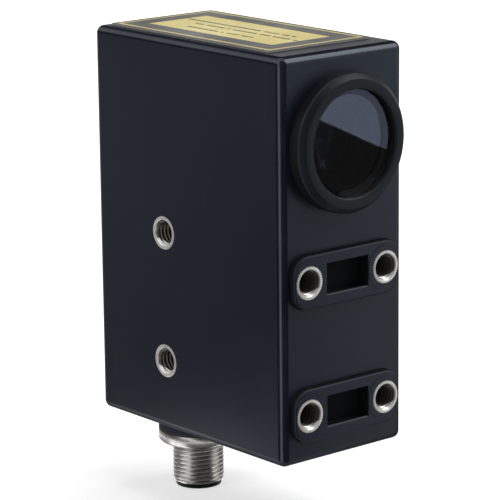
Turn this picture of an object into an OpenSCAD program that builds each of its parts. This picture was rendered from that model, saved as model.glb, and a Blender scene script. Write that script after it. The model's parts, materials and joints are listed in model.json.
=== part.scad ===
// Contrast sensor in a moulded box housing.
// Origin: centre of the four front inserts, in the plane of their faces.
// The lens looks along -Y, the top label faces +Z, the connector points down.

/* [Housing] */
// Width of the housing
housing_w = 35.5; // [34.5:0.5:42]
// Depth of the housing, front wall to rear edge
housing_d = 65.5; // [62:0.5:80]
// Height of the housing
housing_h = 91; // [86:0.5:110]
// Rounding of the outer edges
edge_r = 1.8; // [1:0.1:2.2]
// Thickness of the side, top and bottom walls
wall = 2.8; // [2.4:0.1:3]
// Thickness of the front wall
front_wall = 3; // [2.4:0.1:4]

/* [Front pads] */
// Distance of the insert columns from the housing's sides
column_to_side = 6.55; // [6.2:0.05:7.2]
// Distance between the two insert rows
row_pitch = 30; // [27:0.5:33]
// Height of the lower row above the housing's bottom
row_to_bottom = 11.25; // [10:0.25:14]
// How far a pad reaches past its insert axes
pad_end = 4.2; // [3.4:0.1:4.8]
// Height of a raised pad
pad_z = 12; // [11:0.2:13]
// How far a pad stands out of the front wall
pad_h = 1.5; // [1:0.1:2.4]
// Corner radius of a pad's outline
pad_corner_r = 4; // [2:0.2:5]
// Rounding of a pad's upper edge
pad_edge_r = 0.4; // [0.2:0.1:0.7]
// Distance between an insert axis and the window
window_to_column = 5.05; // [5:0.05:7]
// Height of the window
window_z = 7.3; // [5:0.1:8]
// Depth of the window from the pad's face
window_depth = 3.5; // [2.5:0.1:4]
// Height of the round face that frames each insert
boss_rim_h = 0.1; // [0.05:0.05:0.15]

/* [Threaded inserts] */
// Thread core radius of an insert
thread_core_r = 2.5; // [2.1:0.05:2.7]
// Mouth radius of an insert's countersink
thread_mouth_r = 3.05; // [2.9:0.05:3.2]
// Depth of an insert's countersink
mouth_depth = 0.4; // [0.3:0.05:0.45]
// Outer radius of an insert
insert_r = 3.85; // [3.5:0.05:4]
// Length of an insert
insert_l = 8; // [6:0.5:9]
// How far a front insert stands out of its pad
insert_proud = 0.15; // [0.1:0.05:0.3]
// Number of knurls round a front insert
knurl_count = 40; // [24:2:48]
// Depth of a knurl
knurl_depth = 0.14; // [0.05:0.01:0.2]
// Plastic left round an insert
boss_wall = 1.25; // [1:0.05:1.5]
// Distance of the side inserts behind the front wall
side_insert_depth = 41; // [38:0.5:43]
// Height of the lower side insert above the housing's bottom
side_insert_to_bottom = 16.25; // [14:0.25:18]
// Distance between the two side inserts
side_insert_pitch = 30; // [26:0.5:31]

/* [Lens hood] */
// Height of the lens axis below the housing's top
lens_to_top = 20.2; // [19:0.1:24]
// How far the hood stands out of the front wall
hood_l = 4.1; // [3:0.1:7]
// Inner radius of the hood
hood_bore_r = 12; // [11.5:0.1:12.2]
// Thickness of the hood's wall
hood_wall = 2.3; // [2:0.1:2.6]
// How far the collar at the hood's foot stands out of its wall
collar_w = 1.2; // [0.8:0.1:1.4]
// Thickness of the collar
collar_t = 1.7; // [1.2:0.1:2.2]
// Step between the hood and its tail in the front wall
tail_step = 1.2; // [1:0.05:1.5]
// Depth of the tail behind the wall's outer face
tail_l = 8.5; // [7:0.1:10]
// Rounding of the hood's outer rim
hood_edge = 0.8; // [0.3:0.05:1]
// Rounding of the hood's inner rim
bore_edge = 0.3; // [0.1:0.05:0.5]
// Depth of the front glass behind the hood's rim
glass_depth = 1.4; // [1:0.1:2.4]
// Thickness of the front glass
glass_t = 2.3; // [1.6:0.1:2.8]
// Width of the seal behind the glass
glass_seal_w = 1.5; // [1:0.1:1.8]
// Thickness of that seal
glass_seal_t = 0.4; // [0.3:0.1:0.6]
// Thickness of the seal under the collar
lens_seal_t = 0.5; // [0.3:0.1:0.8]

/* [Optics] */
// Outer radius of the lens barrel
barrel_r = 10.8; // [10:0.1:10.9]
// Length of the lens barrel
barrel_l = 23; // [20:0.5:26]
// Radius of the objective lens
objective_r = 9.2; // [8.6:0.1:9.4]
// Thickness of the objective at its edge
objective_edge_t = 1.2; // [0.8:0.1:2]
// Height of the objective's dome
objective_dome = 2.6; // [1.5:0.1:3.2]
// Radius of the light path through the barrel
light_path_r = 8.2; // [7:0.1:8.4]
// Length of the optics block behind its flange
block_l = 21; // [19:0.5:23]
// Space between the block and the side walls
block_play = 2.35; // [2:0.05:2.8]
// Thickness of the block's mounting flange
flange_t = 5; // [4:0.2:6]
// Distance of the fixing screws from the side walls
post_to_wall = 2.75; // [2.5:0.05:3]
// Plastic left between the chamber and the screw recesses
chamber_wall = 1.1; // [0.8:0.1:1.5]
// Thickness of the beam splitter plate
splitter_t = 1.1; // [0.8:0.1:2]
// Length of the beam splitter plate
splitter_l = 18; // [14:0.5:19]
// Radius of the emitter's and the receiver's port
port_r = 4; // [3.6:0.1:4.5]

/* [Electronics] */
// Thickness of the main circuit board
board_t = 1.6; // [1:0.1:2]
// Thickness of the small circuit boards
small_board_t = 1.2; // [0.8:0.1:1.6]
// Height of the header between the main and the emitter board
header_h = 3; // [2:0.1:5]
// Depth of the guide slots that hold the main board
slot_depth = 4; // [3:0.5:5]

/* [Rear cover] */
// Thickness of the cover plate
cover_t = 2.6; // [2.2:0.1:3.5]
// How deep the cover sits below the rear edge
cover_recess = 0.3; // [0.1:0.1:0.8]
// Thickness of the housing's lip round the cover
lip_t = 1.3; // [1.1:0.1:1.4]
// Thickness of the flat gasket
gasket_t = 0.8; // [0.5:0.1:1.2]
// Radius of a cover screw's shank
screw_r = 1.5; // [1.2:0.1:1.6]
// Radius of a cover screw's head
screw_head_r = 2.75; // [2.5:0.05:3]
// Length of a cover screw
screw_l = 12; // [9:0.5:15]
// Radius of the plastic column round a cover screw
column_r = 2.9; // [2.6:0.1:3]
// Radius of an indicator window
indicator_r = 2; // [1.5:0.1:2.5]
// Distance between the two indicator windows
indicator_pitch = 9; // [7:0.5:12]

/* [Connector] */
// Distance of the connector axis in front of the rear edge
connector_to_rear = 13.8; // [13:0.1:18]
// Height of the neck moulded under the housing
neck_h = 4.9; // [3:0.1:7]
// Radius of the neck and of the metal flange
flange_r = 9.3; // [8.6:0.1:9.8]
// Thickness of the rubber ring on the flange
ring_seal_t = 0.6; // [0.4:0.1:1]
// Thickness of the metal flange
shell_flange_t = 2.8; // [2:0.1:4]
// Chamfer of the metal flange
flange_chamfer = 0.5; // [0.2:0.1:0.9]
// Radius of the coupling thread
coupling_r = 6; // [5.9:0.05:6.1]
// Length of the coupling thread
coupling_l = 9.1; // [7:0.1:12]
// Length of the relief groove above the thread
relief_l = 0.8; // [0.5:0.1:1.2]
// Radius of the stem inside the neck
stem_r = 6.9; // [6.5:0.1:7.2]
// Inner radius of the metal shell
shell_bore_r = 4.8; // [4.6:0.05:4.9]
// Radius of the socket that takes the mating plug
socket_r = 4.2; // [4:0.05:4.3]
// Depth of the socket
socket_depth = 8; // [6:0.5:9]
// How far the contact carrier stands out of the shell
carrier_proud = 1.05; // [0.6:0.05:1.5]
// Radius of the carrier's outer rim
carrier_rim_r = 5.35; // [5.1:0.05:5.5]
// Radius of a contact pin
pin_r = 0.5; // [0.4:0.05:0.5]
// Distance of a contact pin from the connector axis
pin_circle_r = 2.83; // [2.7:0.01:2.9]

/* [Top label] */
// Distance from the label plate to the housing's sides
label_to_side = 2.95; // [2.2:0.05:5]
// Length of the label plate
label_l = 55.8; // [48:0.2:56]
// Thickness of the label plate
label_t = 0.3; // [0.2:0.05:0.5]
// Distance from the front wall to the label
label_to_front = 7.2; // [5:0.1:8]
// Width of the bright line round the label
line_w = 1; // [0.6:0.1:1.5]
// Distance of that line from the plate's edge
line_inset = 1; // [0.5:0.1:1.5]
// Width of the dark band between line and field
band_w = 4.2; // [2:0.1:5]
// Thickness of the dark print
print_t = 0.04; // [0.03:0.01:0.06]

/* [Hidden] */
$fn = 96;
small_fn = 48;
cut = 1;
overcut = 2 * cut;
gap = 0.05;
slide_gap = 0.15;

// Places that follow from the sizes above
pad_y = insert_proud;
wall_y = pad_y + pad_h;
rear_y = wall_y + housing_d;
bottom_z = -row_pitch / 2 - row_to_bottom;
top_z = bottom_z + housing_h;
lens_z = top_z - lens_to_top;
inner_w = housing_w - 2 * wall;
inner_front_y = wall_y + front_wall;
floor_z = bottom_z + wall;
ceiling_z = top_z - wall;
column_pitch = housing_w - 2 * column_to_side;
pad_w = column_pitch + 2 * pad_end;
window_w = column_pitch - 2 * window_to_column;
row_zs = [-row_pitch / 2, row_pitch / 2];
column_xs = [-column_pitch / 2, column_pitch / 2];

// Insert bosses
boss_r = insert_r + boss_wall;
boss_end = 1.2;
boss_l = insert_l + boss_end;
insert_relief = 0.2;
pocket_back = 2.4;
side_insert_y = wall_y + side_insert_depth;
side_zs = [for (k = [0, 1]) bottom_z + side_insert_to_bottom + k * side_insert_pitch];

// Rear cover
cover_w = housing_w - 2 * lip_t - 2 * slide_gap;
cover_h = housing_h - 2 * lip_t - 2 * slide_gap;
cover_y = rear_y - cover_recess - cover_t;
ledge_y = cover_y - gasket_t;
cover_corner_r = 2.5;
inner_corner_r = 1.2;
column_sink = 0.4;
column_inset = column_r - column_sink;
nut_t = 2.6;
nut_play = 0.5;
column_lift = nut_t + nut_play + column_r;
column_reach = inner_w / 2 - column_inset;
column_xs_rear = [-column_reach, column_reach];
column_zs_rear = [floor_z + column_lift, ceiling_z - column_lift];
screw_play = 0.2;
screw_hole_r = screw_r + screw_play;
screw_tip_room = 1.5;
cover_pilot_l = screw_l - cover_t - gasket_t + screw_tip_room;
column_l = cover_pilot_l + screw_tip_room;
key_af = 2;
key_depth = 1.1;
hex_corners = 6;
hex_ratio = 1 / cos(180 / hex_corners);
countersink_h = screw_head_r - screw_r;
head_edge = 0.25;

// Lens hood, by depth behind the outer face of the front wall
hood_r = hood_bore_r + hood_wall;
tail_r = hood_r - tail_step;
collar_r = hood_r + collar_w;
hollow_share = 1 / 3;
hollow_r = collar_w * hollow_share;
collar_edge = collar_w - hollow_r;
glass_seal_r = hood_bore_r - glass_seal_w;
glass_y = glass_depth - hood_l;
glass_seal_y = glass_y + glass_t;
hood_ledge_y = glass_seal_y + glass_seal_t;
hood_ledge_t = 2.5;
hood_ledge_w = 0.4;
hood_ledge_r = glass_seal_r - hood_ledge_w;
barrel_y = hood_ledge_y + hood_ledge_t;
barrel_bore_r = barrel_r + gap;
seal_in_r = tail_r + 2 * gap;
seal_w = 1.2;
seal_out_r = seal_in_r + seal_w;
seat_ring_w = 1.9;
seat_ring_r = tail_r + seat_ring_w;
seat_ring_l = 2;

// Lens barrel and objective, by depth
objective_depth = 7;
objective_y = barrel_y + objective_depth;
lock_ring_t = 1.2;
lock_ring_w = 0.9;
block_y = barrel_y + barrel_l - flange_t;
block_half = inner_w / 2 - block_play;
post_offset = inner_w / 2 - post_to_wall;
block_shoulder_y = barrel_y + barrel_l;
block_rear_y = block_y + flange_t + block_l;
shoulder_t = 1.5;
chamber_y = block_shoulder_y + shoulder_t;
chamber_rear_wall = 4;
chamber_l = block_rear_y - chamber_rear_wall - chamber_y;
chamber_mid_y = chamber_y + chamber_l / 2;
ear_r = 2.3;
head_room = 2.8;
flange_half = post_offset + ear_r;
notch_edge = post_offset - head_room;
notch_mid = notch_edge + flange_half;
chamber_w = 2 * (notch_edge - chamber_wall);
post_r = 2.2;
optics_screw_r = 1.1;
optics_screw_l = 11;
optics_screw_head_r = 2;
optics_screw_head_t = 1.3;
optics_pilot_l = optics_screw_l - flange_t + screw_tip_room;
lid_t = 1.6;
splitter_seat = 1;
splitter_angle = 45;
lid_margin = 1;

// Small boards
small_board_w = 2 * (post_offset - optics_screw_head_r - slide_gap);
board_margin = 0.25;
emitter_board_l = chamber_l - 2 * board_margin;
emitter_board_z = lens_z - block_half - small_board_t;
receiver_board_y = wall_y + block_rear_y;
receiver_rise = 7;
led_w = 5;
led_h = 1;
diode_r = 2.6;
diode_l = 1.6;
condenser_edge_t = 0.8;
condenser_dome = 0.8;
condenser_seat = 1.2;
condenser_rim = 0.3;
port_seat_z = lens_z - chamber_w / 2 - condenser_seat;
small_screw_r = 0.9;
small_screw_l = 4.5;
small_screw_head_r = 1.7;
small_screw_head_t = 1;
small_screw_margin = 1.4;
small_screw_offset = notch_edge - small_screw_margin;
small_tip_room = 0.4;
small_hole_l = small_screw_l - small_board_t + small_tip_room;

// Connector, by height below the housing's bottom
connector_y = rear_y - connector_to_rear;
seal_z = bottom_z - neck_h - ring_seal_t;
shell_flange_z = seal_z - shell_flange_t;
shell_end_z = shell_flange_z - relief_l - coupling_l;
carrier_end_z = shell_end_z - carrier_proud;
nut_af = 17;
stem_end_l = 1.4;
stem_top_z = floor_z + nut_t + stem_end_l;
connector_board_r = 6.6;
pin_short = 1.4;
thread_depth = 0.6;
relief_r = coupling_r - thread_depth;
key_w = 1.2;
key_h = 0.6;
key_angle = 45;
thread_chamfer = 0.5;

// Main board
main_board_z = stem_top_z + small_board_t;
main_board_top = emitter_board_z - header_h;
guide_wall = 1.5;
front_guide_l = 7.4;
rear_guide_l = 2.2;
guide_lift = 6;
guide_half = board_t / 2 + slide_gap + guide_wall;
guide_front_y = inner_front_y + front_guide_l;
guide_rear_y = cover_y - rear_guide_l;
guide_low_z = main_board_z + guide_lift;
guide_drop = 2;
guide_high_z = main_board_top - guide_drop;
guide_h = guide_high_z - guide_low_z;
indicator_lift = 8;
indicator_z = main_board_top + indicator_lift;
indicator_foot_t = 1;
indicator_foot_w = 0.7;
board_mid_y = (guide_front_y + guide_rear_y) / 2;
board_mid_z = (main_board_z + main_board_top) / 2;
chip_w = 10;
chip_t = 1.2;
coil_w = 6;
coil_t = 3;
can_r = 2.5;
can_l = 5;
header_w = 5;
header_l = 10;

// Label
label_y = wall_y + label_to_front;
label_w = housing_w - 2 * label_to_side;
label_corner_r = 1;
label_least_r = 0.2;
band_inset = line_inset + line_w;

// Outline of a rectangle with round corners, centred
module round_rect(w, h, r) {
    square([w - 2 * r, h], center = true);
    square([w, h - 2 * r], center = true);
    for (sx = [-1, 1], sy = [-1, 1])
        translate([sx * (w / 2 - r), sy * (h / 2 - r)])
            circle(r = r, $fn = small_fn);
}

// Box with all edges rounded, standing on z = 0 and centred in x and y
module soft_box(w, d, h, r) {
    translate([0, 0, r])
        linear_extrude(h - 2 * r)
            round_rect(w, d, r);
    translate([0, d / 2 - r, h / 2])
        rotate([90, 0, 0])
            linear_extrude(d - 2 * r)
                round_rect(w, h, r);
    translate([-w / 2 + r, 0, h / 2])
        rotate([90, 0, 90])
            linear_extrude(w - 2 * r)
                round_rect(d, h, r);
    for (sx = [-1, 1], sy = [-1, 1], z = [r, h - r])
        translate([sx * (w / 2 - r), sy * (d / 2 - r), z])
            sphere(r = r, $fn = small_fn);
}

// Half profile of a plate whose upper outer edge is rounded
module edge_profile(reach, t, e) {
    square([reach, t - e]);
    square([reach - e, t]);
    translate([reach - e, t - e])
        circle(r = e, $fn = small_fn);
}

// Full profile of the same plate
module plate_profile(reach, t, e) {
    edge_profile(reach, t, e);
    mirror([1, 0])
        edge_profile(reach, t, e);
}

// Plate with a rounded outline and a rounded upper edge, standing on z = 0
module soft_plate(w, h, r, t, e) {
    translate([0, h / 2 - r, 0])
        rotate([90, 0, 0])
            linear_extrude(h - 2 * r)
                plate_profile(w / 2, t, e);
    translate([-w / 2 + r, 0, 0])
        rotate([90, 0, 90])
            linear_extrude(w - 2 * r)
                plate_profile(h / 2, t, e);
    for (sx = [-1, 1], sy = [-1, 1])
        translate([sx * (w / 2 - r), sy * (h / 2 - r), 0])
            rotate_extrude($fn = small_fn)
                edge_profile(r, t, e);
}

// Ring standing on z = 0
module ring(out_r, in_r, l) {
    difference() {
        cylinder(r = out_r, h = l);
        translate([0, 0, -cut])
            cylinder(r = in_r, h = l + 2 * cut);
    }
}

// Places children with z = 0 in the front wall's outer face on the lens axis, z inwards
module on_lens_axis(depth) {
    translate([0, wall_y + depth, lens_z])
        rotate([-90, 0, 0])
            children();
}

// Places children with z = 0 at a given y, z towards the front
module facing_front(x, y, z) {
    translate([x, y, z])
        rotate([90, 0, 0])
            children();
}

// Places children with z = 0 at a given y, z towards the rear
module facing_rear(x, y, z) {
    translate([x, y, z])
        rotate([-90, 0, 0])
            children();
}

// Places children on the connector axis, z up
module on_connector_axis(z) {
    translate([0, connector_y, z])
        children();
}

// Places children on a side wall's outer face, z inwards
module on_side(side, z) {
    translate([side * housing_w / 2, side_insert_y, z])
        rotate([0, -side * 90, 0])
            children();
}

// Section 1: the moulded housing

module front_pads() {
    for (z = row_zs)
        facing_front(0, wall_y + cut, z)
            soft_plate(pad_w, pad_z, pad_corner_r, pad_h + cut, pad_edge_r);
    for (z = row_zs)
        intersection() {
            facing_front(0, wall_y + cut, z)
                soft_plate(pad_w, pad_z, pad_corner_r, pad_h + boss_rim_h + cut, pad_edge_r);
            for (x = column_xs)
                facing_front(x, wall_y, z)
                    cylinder(r = boss_r, h = pad_h + boss_rim_h);
        }
}

module front_bosses() {
    for (x = column_xs, z = row_zs)
        facing_rear(x, wall_y, z)
            cylinder(r = boss_r, h = boss_l - pad_h);
    for (z = row_zs)
        facing_rear(0, wall_y, z)
            translate([-column_pitch / 2, -boss_r, 0])
                cube([column_pitch, 2 * boss_r, window_depth + pocket_back - pad_h]);
}

module side_bosses() {
    for (side = [-1, 1], z = side_zs)
        on_side(side, z)
            translate([0, 0, edge_r])
                cylinder(r = boss_r, h = boss_l - edge_r);
}

module cover_columns() {
    for (x = column_xs_rear, z = column_zs_rear)
        facing_front(x, ledge_y, z)
            cylinder(r = column_r, h = column_l, $fn = small_fn);
}

module optics_posts() {
    for (sx = [-1, 1], sz = [-1, 1])
        facing_rear(sx * post_offset, wall_y + front_wall - gap, lens_z + sz * post_offset)
            cylinder(r = post_r, h = block_y - front_wall + gap, $fn = small_fn);
}

module front_board_guide() {
    guide_l = guide_front_y + slot_depth - inner_front_y;
    translate([-guide_half, inner_front_y - gap, guide_low_z])
        cube([2 * guide_half, guide_l + gap, guide_h]);
}

module housing_outer() {
    translate([0, wall_y + housing_d / 2, bottom_z])
        soft_box(housing_w, housing_d, housing_h, edge_r);
    front_pads();
    on_connector_axis(bottom_z - neck_h)
        cylinder(r = flange_r, h = neck_h + edge_r);
}

module housing_cavity() {
    translate([0, inner_front_y, (floor_z + ceiling_z) / 2])
        rotate([-90, 0, 0])
            linear_extrude(housing_d)
                round_rect(inner_w, ceiling_z - floor_z, inner_corner_r);
}

module cover_rebate() {
    translate([0, ledge_y, (floor_z + ceiling_z) / 2])
        rotate([-90, 0, 0])
            linear_extrude(housing_d)
                round_rect(housing_w - 2 * lip_t, housing_h - 2 * lip_t, cover_corner_r);
}

module housing_inner() {
    front_bosses();
    side_bosses();
    cover_columns();
    optics_posts();
    front_board_guide();
    on_lens_axis(front_wall - gap)
        ring(seat_ring_r, tail_r + gap, seat_ring_l + gap);
}

module insert_holes() {
    for (x = column_xs, z = row_zs)
        facing_rear(x, pad_y - cut, z)
            cylinder(r = insert_r + gap, h = insert_l - insert_proud + insert_relief + cut);
    for (side = [-1, 1], z = side_zs)
        on_side(side, z)
            translate([0, 0, -cut])
                cylinder(r = insert_r + gap, h = insert_l + insert_relief + cut);
}

module window_pockets() {
    for (z = row_zs)
        translate([-window_w / 2, pad_y - cut, z - window_z / 2])
            cube([window_w, window_depth + cut, window_z]);
}

module screw_pilots() {
    for (x = column_xs_rear, z = column_zs_rear)
        facing_front(x, ledge_y + cut, z)
            cylinder(r = screw_r + gap, h = cover_pilot_l + cut, $fn = small_fn);
    for (sx = [-1, 1], sz = [-1, 1])
        facing_front(sx * post_offset, wall_y + block_y + cut, lens_z + sz * post_offset)
            cylinder(r = optics_screw_r + gap, h = optics_pilot_l + cut, $fn = small_fn);
}

module housing() {
    color([0.13, 0.15, 0.18])
        difference() {
            union() {
                difference() {
                    housing_outer();
                    housing_cavity();
                }
                housing_inner();
            }
            cover_rebate();
            on_lens_axis(-cut)
                cylinder(r = tail_r + gap, h = front_wall + seat_ring_l + 2 * cut);
            on_lens_axis(-cut)
                cylinder(r = seal_out_r + gap, h = lens_seal_t + cut);
            insert_holes();
            window_pockets();
            screw_pilots();
            on_connector_axis(bottom_z - neck_h - cut)
                cylinder(r = stem_r + gap, h = neck_h + wall + 2 * cut);
            translate([-guide_half, guide_front_y, guide_low_z - cut])
                translate([guide_half - board_t / 2 - slide_gap, 0, 0])
                    cube([board_t + 2 * slide_gap, slot_depth + cut, guide_h + 2 * cut]);
        }
}

// Section 2: rear cover, gasket and screws

// Cone under a cover screw's head, wide at its upper end
module screw_cone(h, play) {
    cylinder(r1 = screw_r + play, r2 = screw_head_r + play, h = h, $fn = small_fn);
}

module rear_cover() {
    color([0.12, 0.13, 0.15])
        difference() {
            union() {
                translate([0, cover_y, (floor_z + ceiling_z) / 2])
                    rotate([-90, 0, 0])
                        linear_extrude(cover_t)
                            round_rect(cover_w, cover_h, cover_corner_r);
                translate([-guide_half, guide_rear_y - slot_depth, guide_low_z])
                    cube([2 * guide_half, cover_y + cut - guide_rear_y + slot_depth, guide_h]);
            }
            translate([-board_t / 2 - slide_gap, guide_rear_y - slot_depth - cut, guide_low_z - cut])
                cube([board_t + 2 * slide_gap, slot_depth + cut, guide_h + 2 * cut]);
            for (x = column_xs_rear, z = column_zs_rear)
                facing_rear(x, cover_y - cut, z) {
                    cylinder(r = screw_hole_r, h = cover_t + 2 * cut, $fn = small_fn);
                    translate([0, 0, cut + cover_t - head_edge])
                        cylinder(r = screw_head_r + slide_gap, h = head_edge + cut, $fn = small_fn);
                    translate([0, 0, cut + cover_t - head_edge - countersink_h])
                        screw_cone(countersink_h, slide_gap);
                }
            for (s = [-1, 1])
                facing_rear(s * indicator_pitch / 2, cover_y - cut, indicator_z)
                    cylinder(r = indicator_r + gap, h = cover_t + 2 * cut, $fn = small_fn);
        }
}

module rear_gasket() {
    color([0.05, 0.05, 0.05])
        difference() {
            translate([0, ledge_y, (floor_z + ceiling_z) / 2])
                rotate([-90, 0, 0])
                    linear_extrude(gasket_t)
                        round_rect(cover_w, cover_h, cover_corner_r);
            difference() {
                translate([0, ledge_y - cut, (floor_z + ceiling_z) / 2])
                    rotate([-90, 0, 0])
                        linear_extrude(gasket_t + 2 * cut)
                            round_rect(inner_w, ceiling_z - floor_z, inner_corner_r);
                for (x = column_xs_rear, z = column_zs_rear)
                    facing_rear(x, ledge_y - overcut, z)
                        cylinder(r = column_r, h = gasket_t + 2 * overcut, $fn = small_fn);
            }
            for (x = column_xs_rear, z = column_zs_rear)
                facing_rear(x, ledge_y - cut, z)
                    cylinder(r = screw_hole_r, h = gasket_t + 2 * cut, $fn = small_fn);
        }
}

module cover_screw(index) {
    x = column_xs_rear[index % 2];
    z = column_zs_rear[floor(index / 2)];
    color([0.62, 0.63, 0.65])
        facing_front(x, cover_y + cover_t, z)
            difference() {
                union() {
                    cylinder(r = screw_head_r, h = head_edge, $fn = small_fn);
                    translate([0, 0, head_edge + countersink_h])
                        mirror([0, 0, 1])
                            screw_cone(countersink_h, 0);
                    cylinder(r = screw_r, h = screw_l, $fn = small_fn);
                }
                translate([0, 0, -cut])
                    cylinder(r = key_af / 2 * hex_ratio, h = key_depth + cut, $fn = hex_corners);
            }
}

module indicator_window(side) {
    color([0.75, 0.80, 0.62])
        facing_rear(side * indicator_pitch / 2, cover_y - indicator_foot_t, indicator_z) {
            cylinder(r = indicator_r, h = cover_t + indicator_foot_t, $fn = small_fn);
            cylinder(r = indicator_r + indicator_foot_w, h = indicator_foot_t, $fn = small_fn);
        }
}

// Section 3: top label

module label_block(inset, z, t) {
    translate([0, label_y + label_l / 2, z])
        linear_extrude(t)
            round_rect(label_w - 2 * inset, label_l - 2 * inset, max(label_corner_r - inset, label_least_r));
}

module top_label() {
    color([0.85, 0.78, 0.50])
        label_block(0, top_z, label_t);
}

module label_print() {
    color([0.10, 0.10, 0.09]) {
        difference() {
            label_block(0, top_z + label_t, print_t);
            label_block(line_inset, top_z + label_t - cut, print_t + 2 * cut);
        }
        difference() {
            label_block(band_inset, top_z + label_t, print_t);
            label_block(band_inset + band_w, top_z + label_t - cut, print_t + 2 * cut);
        }
    }
}

// Section 4: lens hood and front glass

// Half profile of the hood: x is the radius, y the depth behind the wall's outer face
module hood_profile() {
    difference() {
        union() {
            translate([hood_bore_r, -hood_l + hood_edge])
                square([hood_r - hood_bore_r, hood_l]);
            translate([hood_bore_r + bore_edge, -hood_l])
                square([hood_r - hood_bore_r - bore_edge - hood_edge, hood_l]);
            translate([hood_r - hood_edge, -hood_l + hood_edge])
                circle(r = hood_edge, $fn = small_fn);
            translate([hood_bore_r, -hood_l + bore_edge])
                square([hood_edge, hood_edge]);
            translate([hood_bore_r + bore_edge, -hood_l + bore_edge])
                circle(r = bore_edge, $fn = small_fn);
            translate([hood_bore_r, -collar_t + collar_edge])
                square([collar_r - hood_bore_r, collar_t - collar_edge]);
            translate([hood_bore_r, -collar_t])
                square([collar_r - hood_bore_r - collar_edge, collar_t]);
            translate([collar_r - collar_edge, -collar_t + collar_edge])
                circle(r = collar_edge, $fn = small_fn);
            translate([hood_bore_r, -collar_t - hollow_r])
                square([hood_r + hollow_r - hood_bore_r, hollow_r + collar_edge]);
            translate([hood_ledge_r, 0])
                square([tail_r - hood_ledge_r, tail_l]);
        }
        translate([hood_r + hollow_r, -collar_t - hollow_r])
            circle(r = hollow_r, $fn = small_fn);
        translate([0, -hood_l - cut])
            square([hood_bore_r, hood_l + cut + hood_ledge_y]);
        translate([0, barrel_y])
            square([barrel_bore_r, tail_l]);
        translate([tail_r, 0])
            square([2 * cut + collar_r, tail_l]);
    }
}

module lens_hood() {
    color([0.08, 0.09, 0.10])
        on_lens_axis(0)
            rotate_extrude()
                hood_profile();
}

module lens_seal() {
    color([0.05, 0.05, 0.05])
        on_lens_axis(0)
            ring(seal_out_r, seal_in_r, lens_seal_t);
}

module front_glass() {
    color([0.32, 0.36, 0.44, 0.5])
        on_lens_axis(glass_y)
            cylinder(r = hood_bore_r - gap, h = glass_t);
}

module glass_seal() {
    color([0.05, 0.05, 0.05])
        on_lens_axis(glass_seal_y)
            ring(hood_bore_r - gap, glass_seal_r, glass_seal_t);
}

// Section 5: barrel, objective and optics block

module lens_barrel() {
    color([0.10, 0.10, 0.11])
        on_lens_axis(barrel_y)
            difference() {
                cylinder(r = barrel_r, h = barrel_l);
                translate([0, 0, -cut])
                    cylinder(r = objective_r + gap, h = objective_y - barrel_y + cut);
                translate([0, 0, -cut])
                    cylinder(r = light_path_r, h = barrel_l + 2 * cut);
            }
}

// Lens with its flat side at z = 0, a flat rim and a dome towards -z
module dome_lens(r, rim, edge_t, dome) {
    dome_r = r - rim;
    sphere_r = (dome_r * dome_r + dome * dome) / (2 * dome);
    translate([0, 0, -edge_t])
        cylinder(r = r, h = edge_t);
    intersection() {
        translate([0, 0, -edge_t - dome + sphere_r])
            sphere(r = sphere_r);
        translate([0, 0, -edge_t - dome - cut])
            cylinder(r = dome_r, h = dome + cut + edge_t / 2);
    }
}

module objective_lens() {
    color([0.75, 0.82, 0.90, 0.5])
        on_lens_axis(objective_y)
            dome_lens(objective_r, lock_ring_w + gap, objective_edge_t, objective_dome);
}

module lens_lock_ring() {
    color([0.12, 0.12, 0.13])
        on_lens_axis(objective_y - objective_edge_t - lock_ring_t)
            ring(objective_r, objective_r - lock_ring_w, lock_ring_t);
}

// Bores for the barrel, the light path, the receiver and the emitter
module block_ports() {
    on_lens_axis(block_y - cut)
        cylinder(r = barrel_bore_r, h = block_shoulder_y - block_y + cut);
    on_lens_axis(block_y)
        cylinder(r = light_path_r, h = chamber_y - block_y + cut);
    on_lens_axis(block_rear_y - chamber_rear_wall - cut)
        cylinder(r = port_r, h = chamber_rear_wall + 2 * cut, $fn = small_fn);
    translate([0, wall_y + chamber_mid_y, lens_z - block_half - cut]) {
        cylinder(r = port_r, h = port_seat_z - lens_z + block_half + cut, $fn = small_fn);
        cylinder(r = port_r - condenser_seat, h = block_half + cut, $fn = small_fn);
    }
}

module lid_plate(play, extra) {
    reach = lid_margin - play;
    translate([-block_half - extra, wall_y + chamber_y - reach, lens_z - chamber_w / 2 - reach])
        cube([lid_t + extra, chamber_l + 2 * reach, chamber_w + 2 * reach]);
}

module splitter_plate(extra) {
    low_x = -block_half + lid_t + slide_gap;
    high_x = chamber_w / 2 + splitter_seat;
    translate([low_x, wall_y + chamber_mid_y, lens_z])
        rotate([splitter_angle, 0, 0])
            translate([0, -splitter_t / 2 - extra, -splitter_l / 2 - extra])
                cube([high_x - low_x + extra, splitter_t + 2 * extra, splitter_l + 2 * extra]);
}

module block_body() {
    translate([-flange_half, wall_y + block_y, lens_z - flange_half])
        cube([2 * flange_half, flange_t, 2 * flange_half]);
    difference() {
        translate([-block_half, wall_y + block_y, lens_z - block_half])
            cube([2 * block_half, flange_t + block_l, 2 * block_half]);
        for (sx = [-1, 1], sz = [-1, 1])
            translate([sx * notch_mid, wall_y + block_rear_y, lens_z + sz * notch_mid])
                cube([2 * flange_half, 2 * block_l, 2 * flange_half], center = true);
    }
}

module board_screw_holes() {
    for (s = [-1, 1]) {
        translate([s * small_screw_offset, wall_y + chamber_mid_y, lens_z - block_half - cut])
            cylinder(r = small_screw_r + gap, h = small_hole_l + cut, $fn = small_fn);
        facing_front(s * small_screw_offset, wall_y + block_rear_y + cut, lens_z)
            cylinder(r = small_screw_r + gap, h = small_hole_l + cut, $fn = small_fn);
    }
}

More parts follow.
